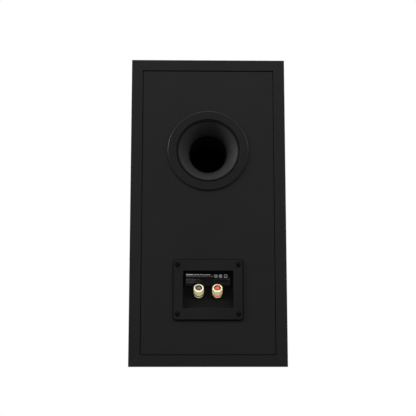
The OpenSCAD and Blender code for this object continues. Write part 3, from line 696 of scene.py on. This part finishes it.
def port_inner_flare():
    end = (low("port_tube").y - PANEL_Y) / MM
    mouth = (high("port_inner_flare").x - centre("port_inner_flare").x) / MM
    outline = ([(SOCKET_R, end + SOCKET_LEN), (SOCKET_R, end), (BORE_R, end)]
               + arc(mouth, end - 4, mouth - BORE_R, 180, 270, 16)
               + arc(mouth, end - 4, mouth - BORE_R - PORT_WALL, 270, 180, 12)
               + [(SOCKET_R + PORT_WALL, end - 2), (SOCKET_R + PORT_WALL, end + SOCKET_LEN)])
    turned("port_inner_mouth", outline, PORT, "shell", PORT_PLASTIC, "port_plastic", "port_inner_flare")


for make in (port_mouth, port_tube, port_inner_flare):
    make()

# ------------ terminal plate

PLATE_Z = centre("terminal_cup").z / MM
PLATE_FACE = PLATE_Y / MM
PLATE_W = (high("terminal_cup").x - low("terminal_cup").x) / MM
PLATE_H = (high("terminal_cup").z - low("terminal_cup").z) / MM
PLATE_T = 2
RECESS_W, RECESS_H = 67, 49.6
POST_TILT = math.radians(35)
CUP_WALL = 2.5
FLOOR_LIP = 3.1
FLOOR_Z = PLATE_Z - RECESS_H / 2 + 0.8
SLOPE_H = 29.6
CREASE_Z = FLOOR_Z + SLOPE_H
LABEL_Y = PLATE_FACE - FLOOR_LIP - SLOPE_H * math.tan(POST_TILT)


def floor_depth(z):
    """Y of the recess's floor at a height: the slope, and above its crease the label wall."""
    return max(PLATE_FACE - FLOOR_LIP - (z - FLOOR_Z) * math.tan(POST_TILT), LABEL_Y)


def plate_loop(w, h, r, crease, depth, arch=0.0, corner_steps=6, edge_steps=12):
    """A rounded rectangle round the plate's centre, with a point at the crease on each side.
    depth gives each point's Y from its height; arch lifts the middle of the lower edge."""
    loop = []
    for cx, cz, start in ((w / 2 - r, h / 2 - r, 0), (-w / 2 + r, h / 2 - r, 90),
                          (-w / 2 + r, -h / 2 + r, 180), (w / 2 - r, -h / 2 + r, 270)):
        if start == 180:
            loop.append((-w / 2, crease - PLATE_Z))
        loop += arc(cx, cz, r, start, start + 90, corner_steps)
        if start == 180:
            a, b = -w / 2 + r, w / 2 - r
            inner = [a + (b - a) * k / edge_steps for k in range(1, edge_steps)]
            loop += [(x, -h / 2 + arch * math.cos(math.pi * x / (b - a))) for x in inner]
    loop.append((w / 2, crease - PLATE_Z))
    return [Vector((x * MM, depth(z + PLATE_Z) * MM, (z + PLATE_Z) * MM)) for x, z in loop]


def terminal_cup():
    """Rings from the recess's floor out over the plate's face, round its rim and back outside the cup."""
    def level(y):
        return lambda z: y

    slope_wall = CUP_WALL / math.cos(POST_TILT)
    outer_crease = CREASE_Z - (slope_wall - CUP_WALL) / math.tan(POST_TILT)

    def outside(z):
        wall_back = LABEL_Y - CUP_WALL
        return max(floor_depth(z) - slope_wall, wall_back) if z < outer_crease else wall_back

    lip, arch, face = 0.5, 1.4, PLATE_FACE
    rings = [
        plate_loop(RECESS_W - 0.8, RECESS_H - 1.4, 1.2, CREASE_Z, floor_depth, arch),
        plate_loop(RECESS_W, RECESS_H, 1.5, CREASE_Z, lambda z: face - 1.2, arch),
        plate_loop(RECESS_W + lip, RECESS_H + lip, 1.7, CREASE_Z, level(face - 0.25), arch),
        plate_loop(RECESS_W + 2.4 * lip, RECESS_H + 2.4 * lip, 2.0, CREASE_Z, level(face), arch),
    ]
    for cut, r, drop in ((2.4, 2.8, 0), (2.0, 3.0, 0.25), (0.8, 3.6, 0.6), (0, 4.0, 1.0), (0, 4.0, PLATE_T)):
        rings.append(plate_loop(PLATE_W - cut, PLATE_H - cut, r, CREASE_Z, level(face - drop)))
    cup_w, cup_h = RECESS_W + 2 * CUP_WALL, RECESS_H + 2 * CUP_WALL
    rings += [plate_loop(cup_w, cup_h, 3.0, CREASE_Z, level(face - PLATE_T)),
              plate_loop(cup_w, cup_h, 3.0, outer_crease, outside)]
    bm = bmesh.new()
    rings_into(bm, rings, False)
    bm.verts.ensure_lookup_table()
    count = len(rings[0])
    for ring in (0, len(rings) - 1):
        verts = [bm.verts[ring * count + k] for k in range(count)]
        left = next(k for k in range(count) if rings[ring][k].x < 0
                    and abs(rings[ring][k].z / MM - (CREASE_Z if ring == 0 else outer_crease)) < 1e-3)
        bm.faces.new(verts[left:])
        bm.faces.new(verts[:left + 1] + [verts[-1]])
    mesh = finished("terminal_plate", bm, 28)
    obj = piece("terminal_plate", mesh, "shell", PLATE_PLASTIC, ["terminal_cup"])
    cut_screw_seats(obj)


def screw_places():
    """The four screws of the terminal plate: +Z is out of the plate."""
    reach = 3.2 * MM
    lo, hi = low("terminal_screws"), high("terminal_screws")
    return [Matrix.Translation((x, PLATE_Y, z)) @ Matrix.Rotation(-math.pi / 2, 4, "X")
            for x in (lo.x + reach, hi.x - reach) for z in (lo.z + reach, hi.z - reach)]


def cut_screw_seats(obj):
    """Sinks a seat for each screw into the plate."""
    bm = bmesh.new()
    for place in screw_places():
        lathe_into(bm, [(0, 1), (3.9, 1), (3.9, 0.0), (3.5, -0.35), (3.5, -1.2), (0, -1.2)], place, 48)
    cutter = linked("cutter", finished("cutter", bm))
    obj.modifiers.clear()
    cut = obj.modifiers.new("seats", "BOOLEAN")
    cut.operation = "DIFFERENCE"
    cut.solver = "EXACT"
    cut.object = cutter
    bpy.context.view_layer.update()
    result = bpy.data.meshes.new_from_object(obj.evaluated_get(bpy.context.evaluated_depsgraph_get()))
    obj.modifiers.clear()
    obj.data = result
    result.shade_smooth()
    result.set_sharp_from_angle(angle=math.radians(28))
    even_shading(obj)
    bpy.data.objects.remove(cutter)


def cross_head_screw(bm, place, head_r, head_h, shank_r, length, twist):
    """A screw whose low, domed head has a cross cut into it, its top at local z = 0."""
    arm, reach, depth, segments = 0.16 * head_r, 0.6 * head_r, 0.45 * head_r, 48
    turned_place = place @ Matrix.Rotation(twist, 4, "Z")

    def cross_r(a):
        """Radius of the cross's outline at an angle."""
        c, s = abs(math.cos(a)), abs(math.sin(a))
        along = max(c, s)
        across = min(c, s)
        return min(reach / along, arm / max(across, 1e-6)) if across * reach > arm * along else reach / along

    dome = 0.12 * head_r
    rounds = ((0.8 * head_r, -0.02), (0.95 * head_r, -dome * 0.5), (head_r, -dome), (head_r, -dome - 0.3),
              (shank_r, -head_h), (shank_r, -length + 2))
    rings = [[turned_place @ Vector((0, 0, -depth * MM))]]
    for h, radius_at in ((-depth, lambda a: 0.55 * cross_r(a)), (-0.08, cross_r),
                         (0, lambda a: cross_r(a) + 0.05)):
        rings.append(shaped_ring(turned_place, h, radius_at, segments))
    rings += [shaped_ring(turned_place, h, lambda a: r, segments) for r, h in rounds]
    rings.append([turned_place @ Vector((0, 0, -length * MM))])
    rings_into(bm, rings, False)


def terminal_screws():
    bm = bmesh.new()
    for k, place in enumerate(screw_places()):
        sunk = place @ Matrix.Translation((0, 0, -0.2 * MM))
        cross_head_screw(bm, sunk, 3.25, 2.2, 1.6, 16, 0.35 + 0.5 * k)
    mesh = finished("plate_cross_screws", bm, 35)
    piece("plate_cross_screws", mesh, "shell", SCREW_BLACK, ["terminal_screws"])


def rating_label():
    """A black film on the label wall, with plain bars, rings and boxes in place of print."""
    lo, hi = low("rating_label"), high("rating_label")
    half_w = (hi.x - lo.x) / 2 / MM
    z0, z1 = lo.z / MM, hi.z / MM
    face = hi.y / MM
    bm = bmesh.new()
    box_into(bm, (-half_w, lo.y / MM, z0), (half_w, face, z1))
    film = piece("label_film", finished("label_film", bm), "shell", LABEL_FILM, ["rating_label"])
    bevelled(film, 0.1)
    ink_t = 0.04

    def bar(target, x0, x1, low_z, high_z):
        """x runs to the right as seen from behind the cabinet, so it is turned round here."""
        box_into(target, (-x1, face - 0.01, low_z), (-x0, face + ink_t, high_z))

    def frame_box(target, x0, x1, low_z, high_z, line):
        bar(target, x0, x1, low_z, low_z + line)
        bar(target, x0, x1, high_z - line, high_z)
        bar(target, x0, x0 + line, low_z + line, high_z - line)
        bar(target, x1 - line, x1, low_z + line, high_z - line)

    strong, middle, faint = bmesh.new(), bmesh.new(), bmesh.new()
    for x0, x1 in ((-29.5, -27.1), (-26.6, -24.8), (-24.3, -20.2)):
        bar(strong, x0, x1, 122.2, 123.7)
    for x0, length in ((-19.0, 3.4), (-15.2, 3.9), (-10.8, 3.6), (-6.6, 2.7), (-3.4, 3.1), (0.2, 3.2)):
        bar(strong, x0, x0 + length, 122.5, 123.3)
    for k in range(9):
        x0 = -29.4 + 4.05 * k
        bar(middle, x0, x0 + (3.5, 2.9, 3.6)[k % 3], 120.3, 120.85)
    for row, length in ((117.0, 21.5), (114.9, 22.5), (112.8, 19.0)):
        for k in range(int(length / 3.1)):
            x0 = -29.4 + 3.1 * k
            bar(faint, x0, x0 + (2.6, 2.2, 2.8)[(k + int(row)) % 3], row - 0.8, row)
    symbol_z = 121.2
    for x, r in ((10.8, 2.1), (17.2, 2.1)):
        ring_middle = Matrix.Translation((-x * MM, face * MM, symbol_z * MM))
        ring_place = ring_middle @ Matrix.Rotation(-math.pi / 2, 4, "X")
        lathe_into(strong, [(r - 0.5, -0.01), (r, -0.01), (r, ink_t), (r - 0.5, ink_t)], ring_place, 40)
        bar(strong, x - 1.0, x + 1.0, symbol_z - 0.25, symbol_z + 0.25)
    bar(strong, 16.95, 17.45, symbol_z - 1.0, symbol_z + 1.0)
    frame_box(strong, 22.2, 26.0, symbol_z - 1.9, symbol_z + 1.9, 0.5)
    frame_box(faint, 9.0, 29.2, 111.2, 117.4, 0.35)
    tones = (("strong", strong, INK), ("middle", middle, GREY_INK), ("faint", faint, FAINT_INK))
    for tone, bars, ink in tones:
        name = "label_print_" + tone
        piece(name, finished(name, bars), "shell", ink)


for make in (terminal_cup, terminal_screws, rating_label):
    make()
finish_cad("terminal_gasket", SOFT_FOAM, 0.15)

# ------------ binding posts

COLLAR_T, RING_T, RING_R, GAP = 3.2, 1.0, 6.95, 0.05
RING_Z = COLLAR_T + GAP
NUT_Z = RING_Z + RING_T + GAP
NUT_LEN, NUT_R, MOUTH_R, THREAD_LEN = 9.75, 7, 4.6, 3
STUD_R, STUD_TIP, STUD_TAIL = 3, 12, -16


def octagon_r(a, reach):
    """Radius of an octagon with flats at 0, 45, 90 degrees, its corners rounded off at reach."""
    step = math.pi / 4
    off = (a + step / 2) % step - step / 2
    return min((reach + 0.3) * math.cos(step / 2) / math.cos(off), reach)


def nut_mesh(name, place):
    """Eight-sided outside, from the base up, then the mouth and the bore, from the top down."""
    segments = 160
    base, top, seat = NUT_Z, NUT_Z + NUT_LEN, NUT_Z + THREAD_LEN
    insets = ((base, 0.9), (base + 0.15, 0.4), (base + 0.6, 0), (top - 1.1, 0), (top - 0.6, 0.15),
              (top - 0.2, 0.5), (top, 1.1))
    bore = ((top, MOUTH_R + 0.35), (top - 0.25, MOUTH_R + 0.05), (top - 0.8, MOUTH_R), (seat, MOUTH_R),
            (seat, STUD_R + 0.35), (seat - 0.3, STUD_R + GAP))
    rings = [shaped_ring(place, base, lambda a: STUD_R + GAP, segments)]
    rings += [shaped_ring(place, h, lambda a: octagon_r(a, NUT_R) - inset, segments) for h, inset in insets]
    rings += [shaped_ring(place, h, lambda a: r, segments) for h, r in bore]
    bm = bmesh.new()
    rings_into(bm, rings, True)
    return finished(name, bm, 26)


def stud_mesh(name, place):
    """Collar, threaded shank and tail, and the plug socket in the shank's end."""
    socket_r, depth, pitch, thread = 2.0, 18, 1.0, 0.12
    shank_start, tail_start, collar_r = 7, -4, 6.4
    shank, tail = [(STUD_R, COLLAR_T)], []
    for k in range(int((STUD_TIP - 0.6 - shank_start) / pitch)):
        h = shank_start + k * pitch
        shank += [(STUD_R, h), (STUD_R - thread, h + pitch / 2)]
    for k in range(int(tail_start - STUD_TAIL)):
        h = tail_start - k
        tail += [(STUD_R, h), (STUD_R - thread, h - pitch / 2)]
    collar = [(STUD_R + 0.01, COLLAR_T), (collar_r, COLLAR_T), (collar_r, GAP), (STUD_R, GAP)]
    outline = ([(0, STUD_TIP - depth), (socket_r, STUD_TIP - depth), (socket_r, STUD_TIP - 0.3),
                (socket_r + 0.3, STUD_TIP), (STUD_R - 0.4, STUD_TIP), (STUD_R, STUD_TIP - 0.4)]
               + shank[::-1] + softened(collar, 0.35) + tail + [(STUD_R - 0.4, STUD_TAIL), (0, STUD_TAIL)])
    return lathe(name, outline, place, 96, closed=False)


def clamp_ring_mesh(name, place):
    bore, top = STUD_R + GAP, RING_Z + RING_T
    outline = softened([(bore, RING_Z), (RING_R, RING_Z), (RING_R, top), (bore, top)], 0.2, 4)
    return lathe(name, outline, place, 96)


def cap_mesh(name, place):
    """A peg in the socket and a button head with a shallow dish."""
    peg_r, head_r, base, round_r = 1.95, 3.15, STUD_TIP + GAP, 0.45
    under = softened([(peg_r, base), (head_r, base), (head_r, base + 1.35)], 0.25, 3, closed=False)[1:-1]
    outline = ([(0, -1), (1.5, -1), (peg_r, -0.2), (peg_r, base)] + under
               + arc(head_r - round_r, base + 0.95, round_r, 0, 90, 5)
               + [(1.8, base + 1.42), (1.1, base + 1.3), (0, base + 1.25)])
    return lathe(name, outline, place, 96, closed=False)


def mouth_shade_liner_mesh(name, place):
    """A black ring just inside the nut's mouth: a dark piece put where there is only shade, painted shade of
    the gap round the cap.
    """
    top, bore, outer, length = NUT_Z + NUT_LEN - 0.4, 3.3, MOUTH_R + 0.02, 1.6
    outline = softened([(bore, top - length), (outer, top - length), (outer, top), (bore, top)], 0.1)
    return lathe(name, outline, place, 96)


def binding_post(sign, plastic, ring_plastic, slot):
    place = post_place(sign + "_post")
    # A dark ring where there is only shade: painted shade in the nut's mouth.
    liner = sign + "_mouth_liner"
    piece(liner, mouth_shade_liner_mesh(liner, place), sign + "_nut_body", SHADE_LINER)
    parts = (
        ("stud", stud_mesh, "shell", GOLD, "gold", "stud"),
        ("clamp_ring", clamp_ring_mesh, sign + "_washer", ring_plastic, slot, "ring"),
        ("octagon_nut", nut_mesh, sign + "_nut_body", GOLD, "gold", "nut"),
        ("socket_cap", cap_mesh, sign + "_plug", plastic, slot, "cap"),
    )
    for kind, build, body, material, own_slot, node in parts:
        name = f"{sign}_{kind}"
        piece(name, build(name, place), body, material, [f"{sign}_{node}"])


binding_post("negative", BLACK_CAP, BLACK_RING, "black_plastic")
binding_post("positive", RED, RED_RING, "red_plastic")
finish_all(("post_fixing_nuts", GOLD, 0.3), ("solder_tags", TINNED, 0.1))

# ------------ woofer


CONE_RIM_Z, CONE_NECK_Z, CONE_EDGE_R, FORMER_R = -7.4, -33, 54, 19.3


def coned(r):
    """Depth of the cone's front at a radius."""
    share = (CONE_EDGE_R - r) / (CONE_EDGE_R - FORMER_R)
    return CONE_RIM_Z + (CONE_NECK_Z - CONE_RIM_Z) * share ** 0.88


def woofer_trim():
    outline = softened([(71.2, -1.7), (75.2, -1.7), (75.2, -0.4), (84, -0.4), (84, 0.02), (87, 0.02),
                        (87, 0.9), (85.6, 2), (73.6, 2), (71.2, 0.2)], 0.8, 5)
    turned("woofer_trim", outline, WOOFER, "shell", TRIM, "trim_plastic", "woofer_trim_ring", 192)


def woofer_surround():
    """Half roll of rubber, glued to the basket outside and over the cone's rim inside."""
    roll_r, roll_z, half, t = 64.5, -1.9, 5, 1
    outer, inner = half + t / 2, half - t / 2
    foot = -7.2
    outline = ([(75, -2.95), (75, roll_z), (71.5, roll_z), (roll_r + outer + 0.5, roll_z + 0.1)]
               + arc(roll_r, roll_z, outer, 8, 172, 20)
               + [(roll_r - outer - 0.15, roll_z - 1.2), (roll_r - outer - 0.9, foot + t + 0.6),
                  (roll_r - outer - 1.8, foot + t), (54.6, foot + t), (54, foot + 0.6), (54, foot),
                  (58.6, foot)]
               + [(roll_r - inner - 0.1, roll_z - 1.6)] + arc(roll_r, roll_z, inner, 176, 4, 18)
               + [(roll_r + inner, -2.95)])
    obj = turned("woofer_roll", outline, WOOFER, None, SURROUND, "surround_rubber", "woofer_surround", 192,
                 sharp=50)
    radial_blend(obj, WOOFER, 70, 58.8)


def woofer_cone():
    wall, steps = 1.2, 40
    radii = [CONE_EDGE_R - (CONE_EDGE_R - FORMER_R) * k / steps for k in range(steps + 1)]
    outline = ([(58.2, -8.6), (58.2, -7.45), (55.2, CONE_RIM_Z)] + [(r, coned(r)) for r in radii]
               + [(FORMER_R, -36), (20.1, -36)] + [(r + 0.6, coned(r) - wall) for r in radii[::-1]])
    turned("woofer_paper_cone", outline, WOOFER, "woofer_mover", CONE, "cone_paper", "woofer_cone", 192)


def woofer_dust_cap():
    edge, rise, wall = 24, 10, 1.0
    sphere = (edge * edge + rise * rise) / (2 * rise)
    angle = 90 - math.degrees(math.asin(edge / sphere))
    centre_z = coned(edge) + 0.4 + rise - sphere
    outline = (arc(0, centre_z, sphere, angle, 90, 24)
               + arc(0, centre_z, sphere - wall, 90, angle + 1, 20)
               + [(edge - wall, coned(edge - wall) + 0.03), (edge + 0.3, coned(edge + 0.3) + 0.03),
                  (edge + 0.25, coned(edge) + 0.3)])
    turned("woofer_cap_dome", outline, WOOFER, "woofer_mover", CONE, "cone_paper", "woofer_dust_cap", 160)


def woofer_coil():
    """A thin former, and a winding of rounded turns."""
    turns, low_z, high_z = 28, -66, -52
    bm = bmesh.new()
    lathe_into(bm, [(18.9, -68), (19.3, -68), (19.3, -34), (18.9, -34)], WOOFER, 96)
    pitch = (high_z - low_z) / turns
    bumps = [p for k in range(turns)
             for p in ((19.72, low_z + k * pitch), (19.95, low_z + (k + 0.5) * pitch))]
    lathe_into(bm, [(19.31, low_z)] + bumps + [(19.72, high_z), (19.31, high_z)], WOOFER, 96)
    piece("woofer_wound_coil", finished("woofer_wound_coil", bm, 60), "woofer_mover", COPPER,
          ["woofer_voice_coil"])


def woofer_spider():
    waves, base, t, height = 4, -44.4, 0.7, 1.3
    line = [(19.6 + 25 * k / 64, base + height * math.sin(2 * math.pi * waves * k / 64)) for k in range(65)]
    outline = ([(r, z + t) for r, z in line] + [(48.2, -44.6), (48.2, -45.48), (45, -45.48)] + line[::-1])
    obj = turned("woofer_wave_spider", outline, WOOFER, None, SPIDER, "spider_cloth", "woofer_spider",
                 sharp=60)
    radial_blend(obj, WOOFER, 44, 20)


for make in (woofer_trim, woofer_surround, woofer_cone, woofer_dust_cap, woofer_coil, woofer_spider):
    make()
finish_all(
    ("woofer_basket", BASKET, 0.3), ("woofer_gasket", SOFT_FOAM), ("woofer_screws", SCREW_BLACK),
    ("woofer_top_plate", STEEL, 0.3), ("woofer_magnet", FERRITE, 0.6), ("woofer_yoke", STEEL, 0.3),
    ("woofer_terminals", FIBRE, 0.15))

# ------------ tweeter


def tweeter_guide():
    """Waveguide: a flange under the trim ring and a horn that runs in to the diaphragm."""
    horn = [(40 - 23 * k / 32, -0.5 - 7.7 * (k / 32) ** 1.8) for k in range(33)]
    throat = [(16.9, -8.4), (16.6, -9.6), (20.2, -9.6), (20.2, -12), (37, -12)]
    outline = [(37, -4.5), (50, -4.5), (50, -0.5)] + horn + softened(throat, 0.2, 3, closed=False)
    turned("tweeter_horn", outline, TWEETER, "shell", GUIDE, "guide_plastic", "tweeter_faceplate", 160)


def tweeter_trim():
    outline = softened([(40.6, -0.4), (50.4, -0.4), (50.4, 0.02), (52.5, 0.02), (52.5, 0.8), (51.4, 1.6),
                        (42.2, 1.6), (40.6, 0.3)], 0.6, 5)
    turned("tweeter_trim", outline, TWEETER, "shell", TRIM, "trim_plastic", "tweeter_trim_ring", 160)


def tweeter_dome():
    edge, rise, wall, base = 12.7, 5.5, 0.5, -9.9
    sphere = (edge * edge + rise * rise) / (2 * rise)
    angle = 90 - math.degrees(math.asin(edge / sphere))
    centre_z = base + rise - sphere
    outline = (arc(0, centre_z, sphere, angle, 90, 24) + arc(0, centre_z, sphere - wall, 90, angle, 24)
               + [(12.2, -10.2), (12.2, -17.5), (12.6, -17.5), (12.6, -16.2), (13, -16.2), (13, -11.8),
                  (12.6, -11.8), (12.6, -10.2)])
    turned("tweeter_soft_dome", outline, TWEETER, "tweeter_mover", DOME, "dome_fabric", "tweeter_dome", 96)


def tweeter_surround():
    outline = ([(20, -10.1), (20, -9.65), (16.2, -9.68)] + arc(14.45, -10.1, 1.35, 18, 180, 12)
               + arc(14.45, -10.1, 0.95, 180, 0, 10))
    obj = turned("tweeter_roll", outline, TWEETER, None, SURROUND, "surround_rubber", "tweeter_surround", 96,
                 sharp=50)
    radial_blend(obj, TWEETER, 15.9, 13.2)


for make in (tweeter_guide, tweeter_trim, tweeter_dome, tweeter_surround):
    make()
finish_all(
    ("tweeter_screws", SCREW_BLACK), ("tweeter_top_plate", STEEL, 0.2), ("tweeter_magnet", FERRITE, 0.5),
    ("tweeter_yoke", STEEL, 0.2), ("tweeter_rear_cup", GUIDE, 0.5), ("tweeter_terminals", TINNED, 0.1))

# ------------ crossover and leads


def inductor(node, axis_r):
    """A bobbin with two cheeks, and a winding whose turns show as rounded ridges."""
    lo, hi = low(node), high(node)
    outer = (hi.x - lo.x) / 2 / MM
    height = (hi.z - lo.z) / MM
    place = Matrix.Translation((centre(node).x, centre(node).y, lo.z))
    cheek, hub, wire, gap = 1.5, axis_r + 1.5, 1.2, 0.05
    wound = outer - cheek
    bobbin = softened([(axis_r, 0), (outer, 0), (outer, cheek), (hub, cheek), (hub, height - cheek),
                       (outer, height - cheek), (outer, height), (axis_r, height)], 0.3, 2)
    turned(node + "_bobbin", bobbin, place, "shell", NYLON, "nylon", segments=96)
    turns = int((height - 2 * cheek) / wire)
    pitch = (height - 2 * cheek) / turns
    ridges = []
    for k in range(turns):
        ridges += arc(wound - pitch / 2, cheek + (k + 0.5) * pitch, pitch / 2, -80, 80, 4)
    outline = [(axis_r + 1.6, cheek + gap)] + ridges + [(axis_r + 1.6, height - cheek - gap)]
    turned(node + "_winding", outline, place, "shell", COPPER, "copper_coil", node, 96, sharp=60)


def leads(sign, side, material):
    """One polarity's wires; the routes are those of the CAD model."""
    posts = [(12.5, 0, 138.8, 84.6), (12.5, 0, 130, 78), (12.5, 0, 117, 65), (10, 0, 105, 48),
             (6, 0, 94, 34), (5, 0, 86, 28), (5, 0, 80, 24.8)]
    woofer = [(3, -30, -8, 24.8), (3, -31, -18, 28), (3, -33, -40, 34), (4, -28, -70, 44), (5, -14, -96, 58),
              (7, 0, -110, 63), (8, 0, -117.5, 70), (8, 0, -117.5, 79)]
    tweeter = [(3, 42, -8, 24.8), (3, 48, -20, 32), (3, 60, -40, 62), (3, 64, -64, 120), (3, 62, -76, 190),
               (3, 54, -80, 236), (4, 34, -76, 270), (6, 12, -78, 294), (8, 0, -92, 300), (8, 0, -98, 300)]
    routes = [[(side * gap + x, y, z) for gap, x, y, z in route] for route in (posts, woofer, tweeter)]
    name = sign + "_wires"
    piece(name, tube_mesh(name, routes, 1.4), "shell", material, [sign + "_leads"])


inductor("woofer_inductor", 9)
inductor("tweeter_inductor", 6)
leads("negative", 1, BLACK_WIRE)
leads("positive", -1, RED_WIRE)
finish_all(
    ("crossover_board", LAMINATE, 0.1), ("crossover_standoffs", NYLON, 0.2), ("crossover_screws", STEEL),
    ("capacitors", FILM_WRAP), ("resistors", CERAMIC, 0.5))

# ------------ stage


def area_light(name, place, target, size, watts):
    data = bpy.data.lights.new(name, "AREA")
    data.shape = "RECTANGLE"
    data.size, data.size_y = size
    data.energy = watts
    light = linked(name, data)
    light.location = place
    light.rotation_euler = (Vector(target) - Vector(place)).to_track_quat("-Z", "Y").to_euler()
    return light


def recess_light():
    """A soft lamp below the line of sight that lights only the posts and the label's print."""
    lamp = area_light("recess_lamp", (0.0, 1.1, -0.45), (0, 0.14, 0.1), (0.9, 0.5), RECESS_WATTS)
    lit = bpy.data.collections.new("lit_by_recess_lamp")
    for obj in bpy.data.objects:
        if obj.name.startswith(("negative_", "positive_", "label_print")) and "wires" not in obj.name:
            lit.objects.link(obj)
    lamp.light_linking.receiver_collection = lit
    lamp.light_linking.blocker_collection = lit


def backdrop():
    """A grey gradient that lights the scene; camera rays see plain white instead."""
    world = bpy.data.worlds.new("studio")
    bpy.context.scene.world = world
    world.use_nodes = True
    nodes, link = world.node_tree.nodes, world.node_tree.links.new
    direction, split, fade, white, path, seen = [nodes.new("ShaderNode" + kind) for kind in (
        "TexCoord", "SeparateXYZ", "MapRange", "Background", "LightPath", "MixShader")]
    fill = nodes["Background"]
    fill.inputs["Color"].default_value = white.inputs["Color"].default_value = (1, 1, 1, 1)
    for key, value in zip(("From Min", "From Max", "To Min", "To Max"), SKY):
        fade.inputs[key].default_value = value
    link(direction.outputs["Generated"], split.inputs["Vector"])
    link(split.outputs["Z"], fade.inputs["Value"])
    link(fade.outputs["Result"], fill.inputs["Strength"])
    link(path.outputs["Is Camera Ray"], seen.inputs[0])
    link(fill.outputs[0], seen.inputs[1])
    link(white.outputs[0], seen.inputs[2])
    link(seen.outputs[0], nodes["World Output"].inputs["Surface"])


def paper_floor():
    """A mid-grey floor that returns some light to the object; the camera doesn't see it."""
    bm = bmesh.new()
    bmesh.ops.create_grid(bm, x_segments=8, y_segments=8, size=6)
    floor = linked("floor", finished("floor", bm))
    paper = Shader("grey_paper_floor", 0.9, specular=0.1)
    paper.colour((FLOOR_SHADE, FLOOR_SHADE, FLOOR_SHADE))
    floor.data.materials.append(paper.material)
    floor.visible_camera = False


FLOOR_SHADE, RECESS_WATTS = 0.17, 18
SKY = (-0.1, 0.35, 0.08, 0.75)
LIGHTS = (
    ("overhead", (0.0, 1.6, 3.0), (0, 0.1, 0.25), (2.4, 1.6), 42),
    ("upper_left", (2.3, 0.95, 1.35), (0, 0.1, 0.25), (0.9, 0.9), 60),
    ("right", (-2.2, 1.4, 1.4), (0, 0.1, 0.25), (1.2, 1.2), 33),
    ("front_overhead", (-0.4, -1.6, 2.2), (0, -0.1, 0.25), (1.4, 1.4), 50),
)
backdrop()
paper_floor()
for lamp_row in LIGHTS:
    area_light(*lamp_row)
recess_light()
bpy.context.scene.view_settings.view_transform = "Standard"
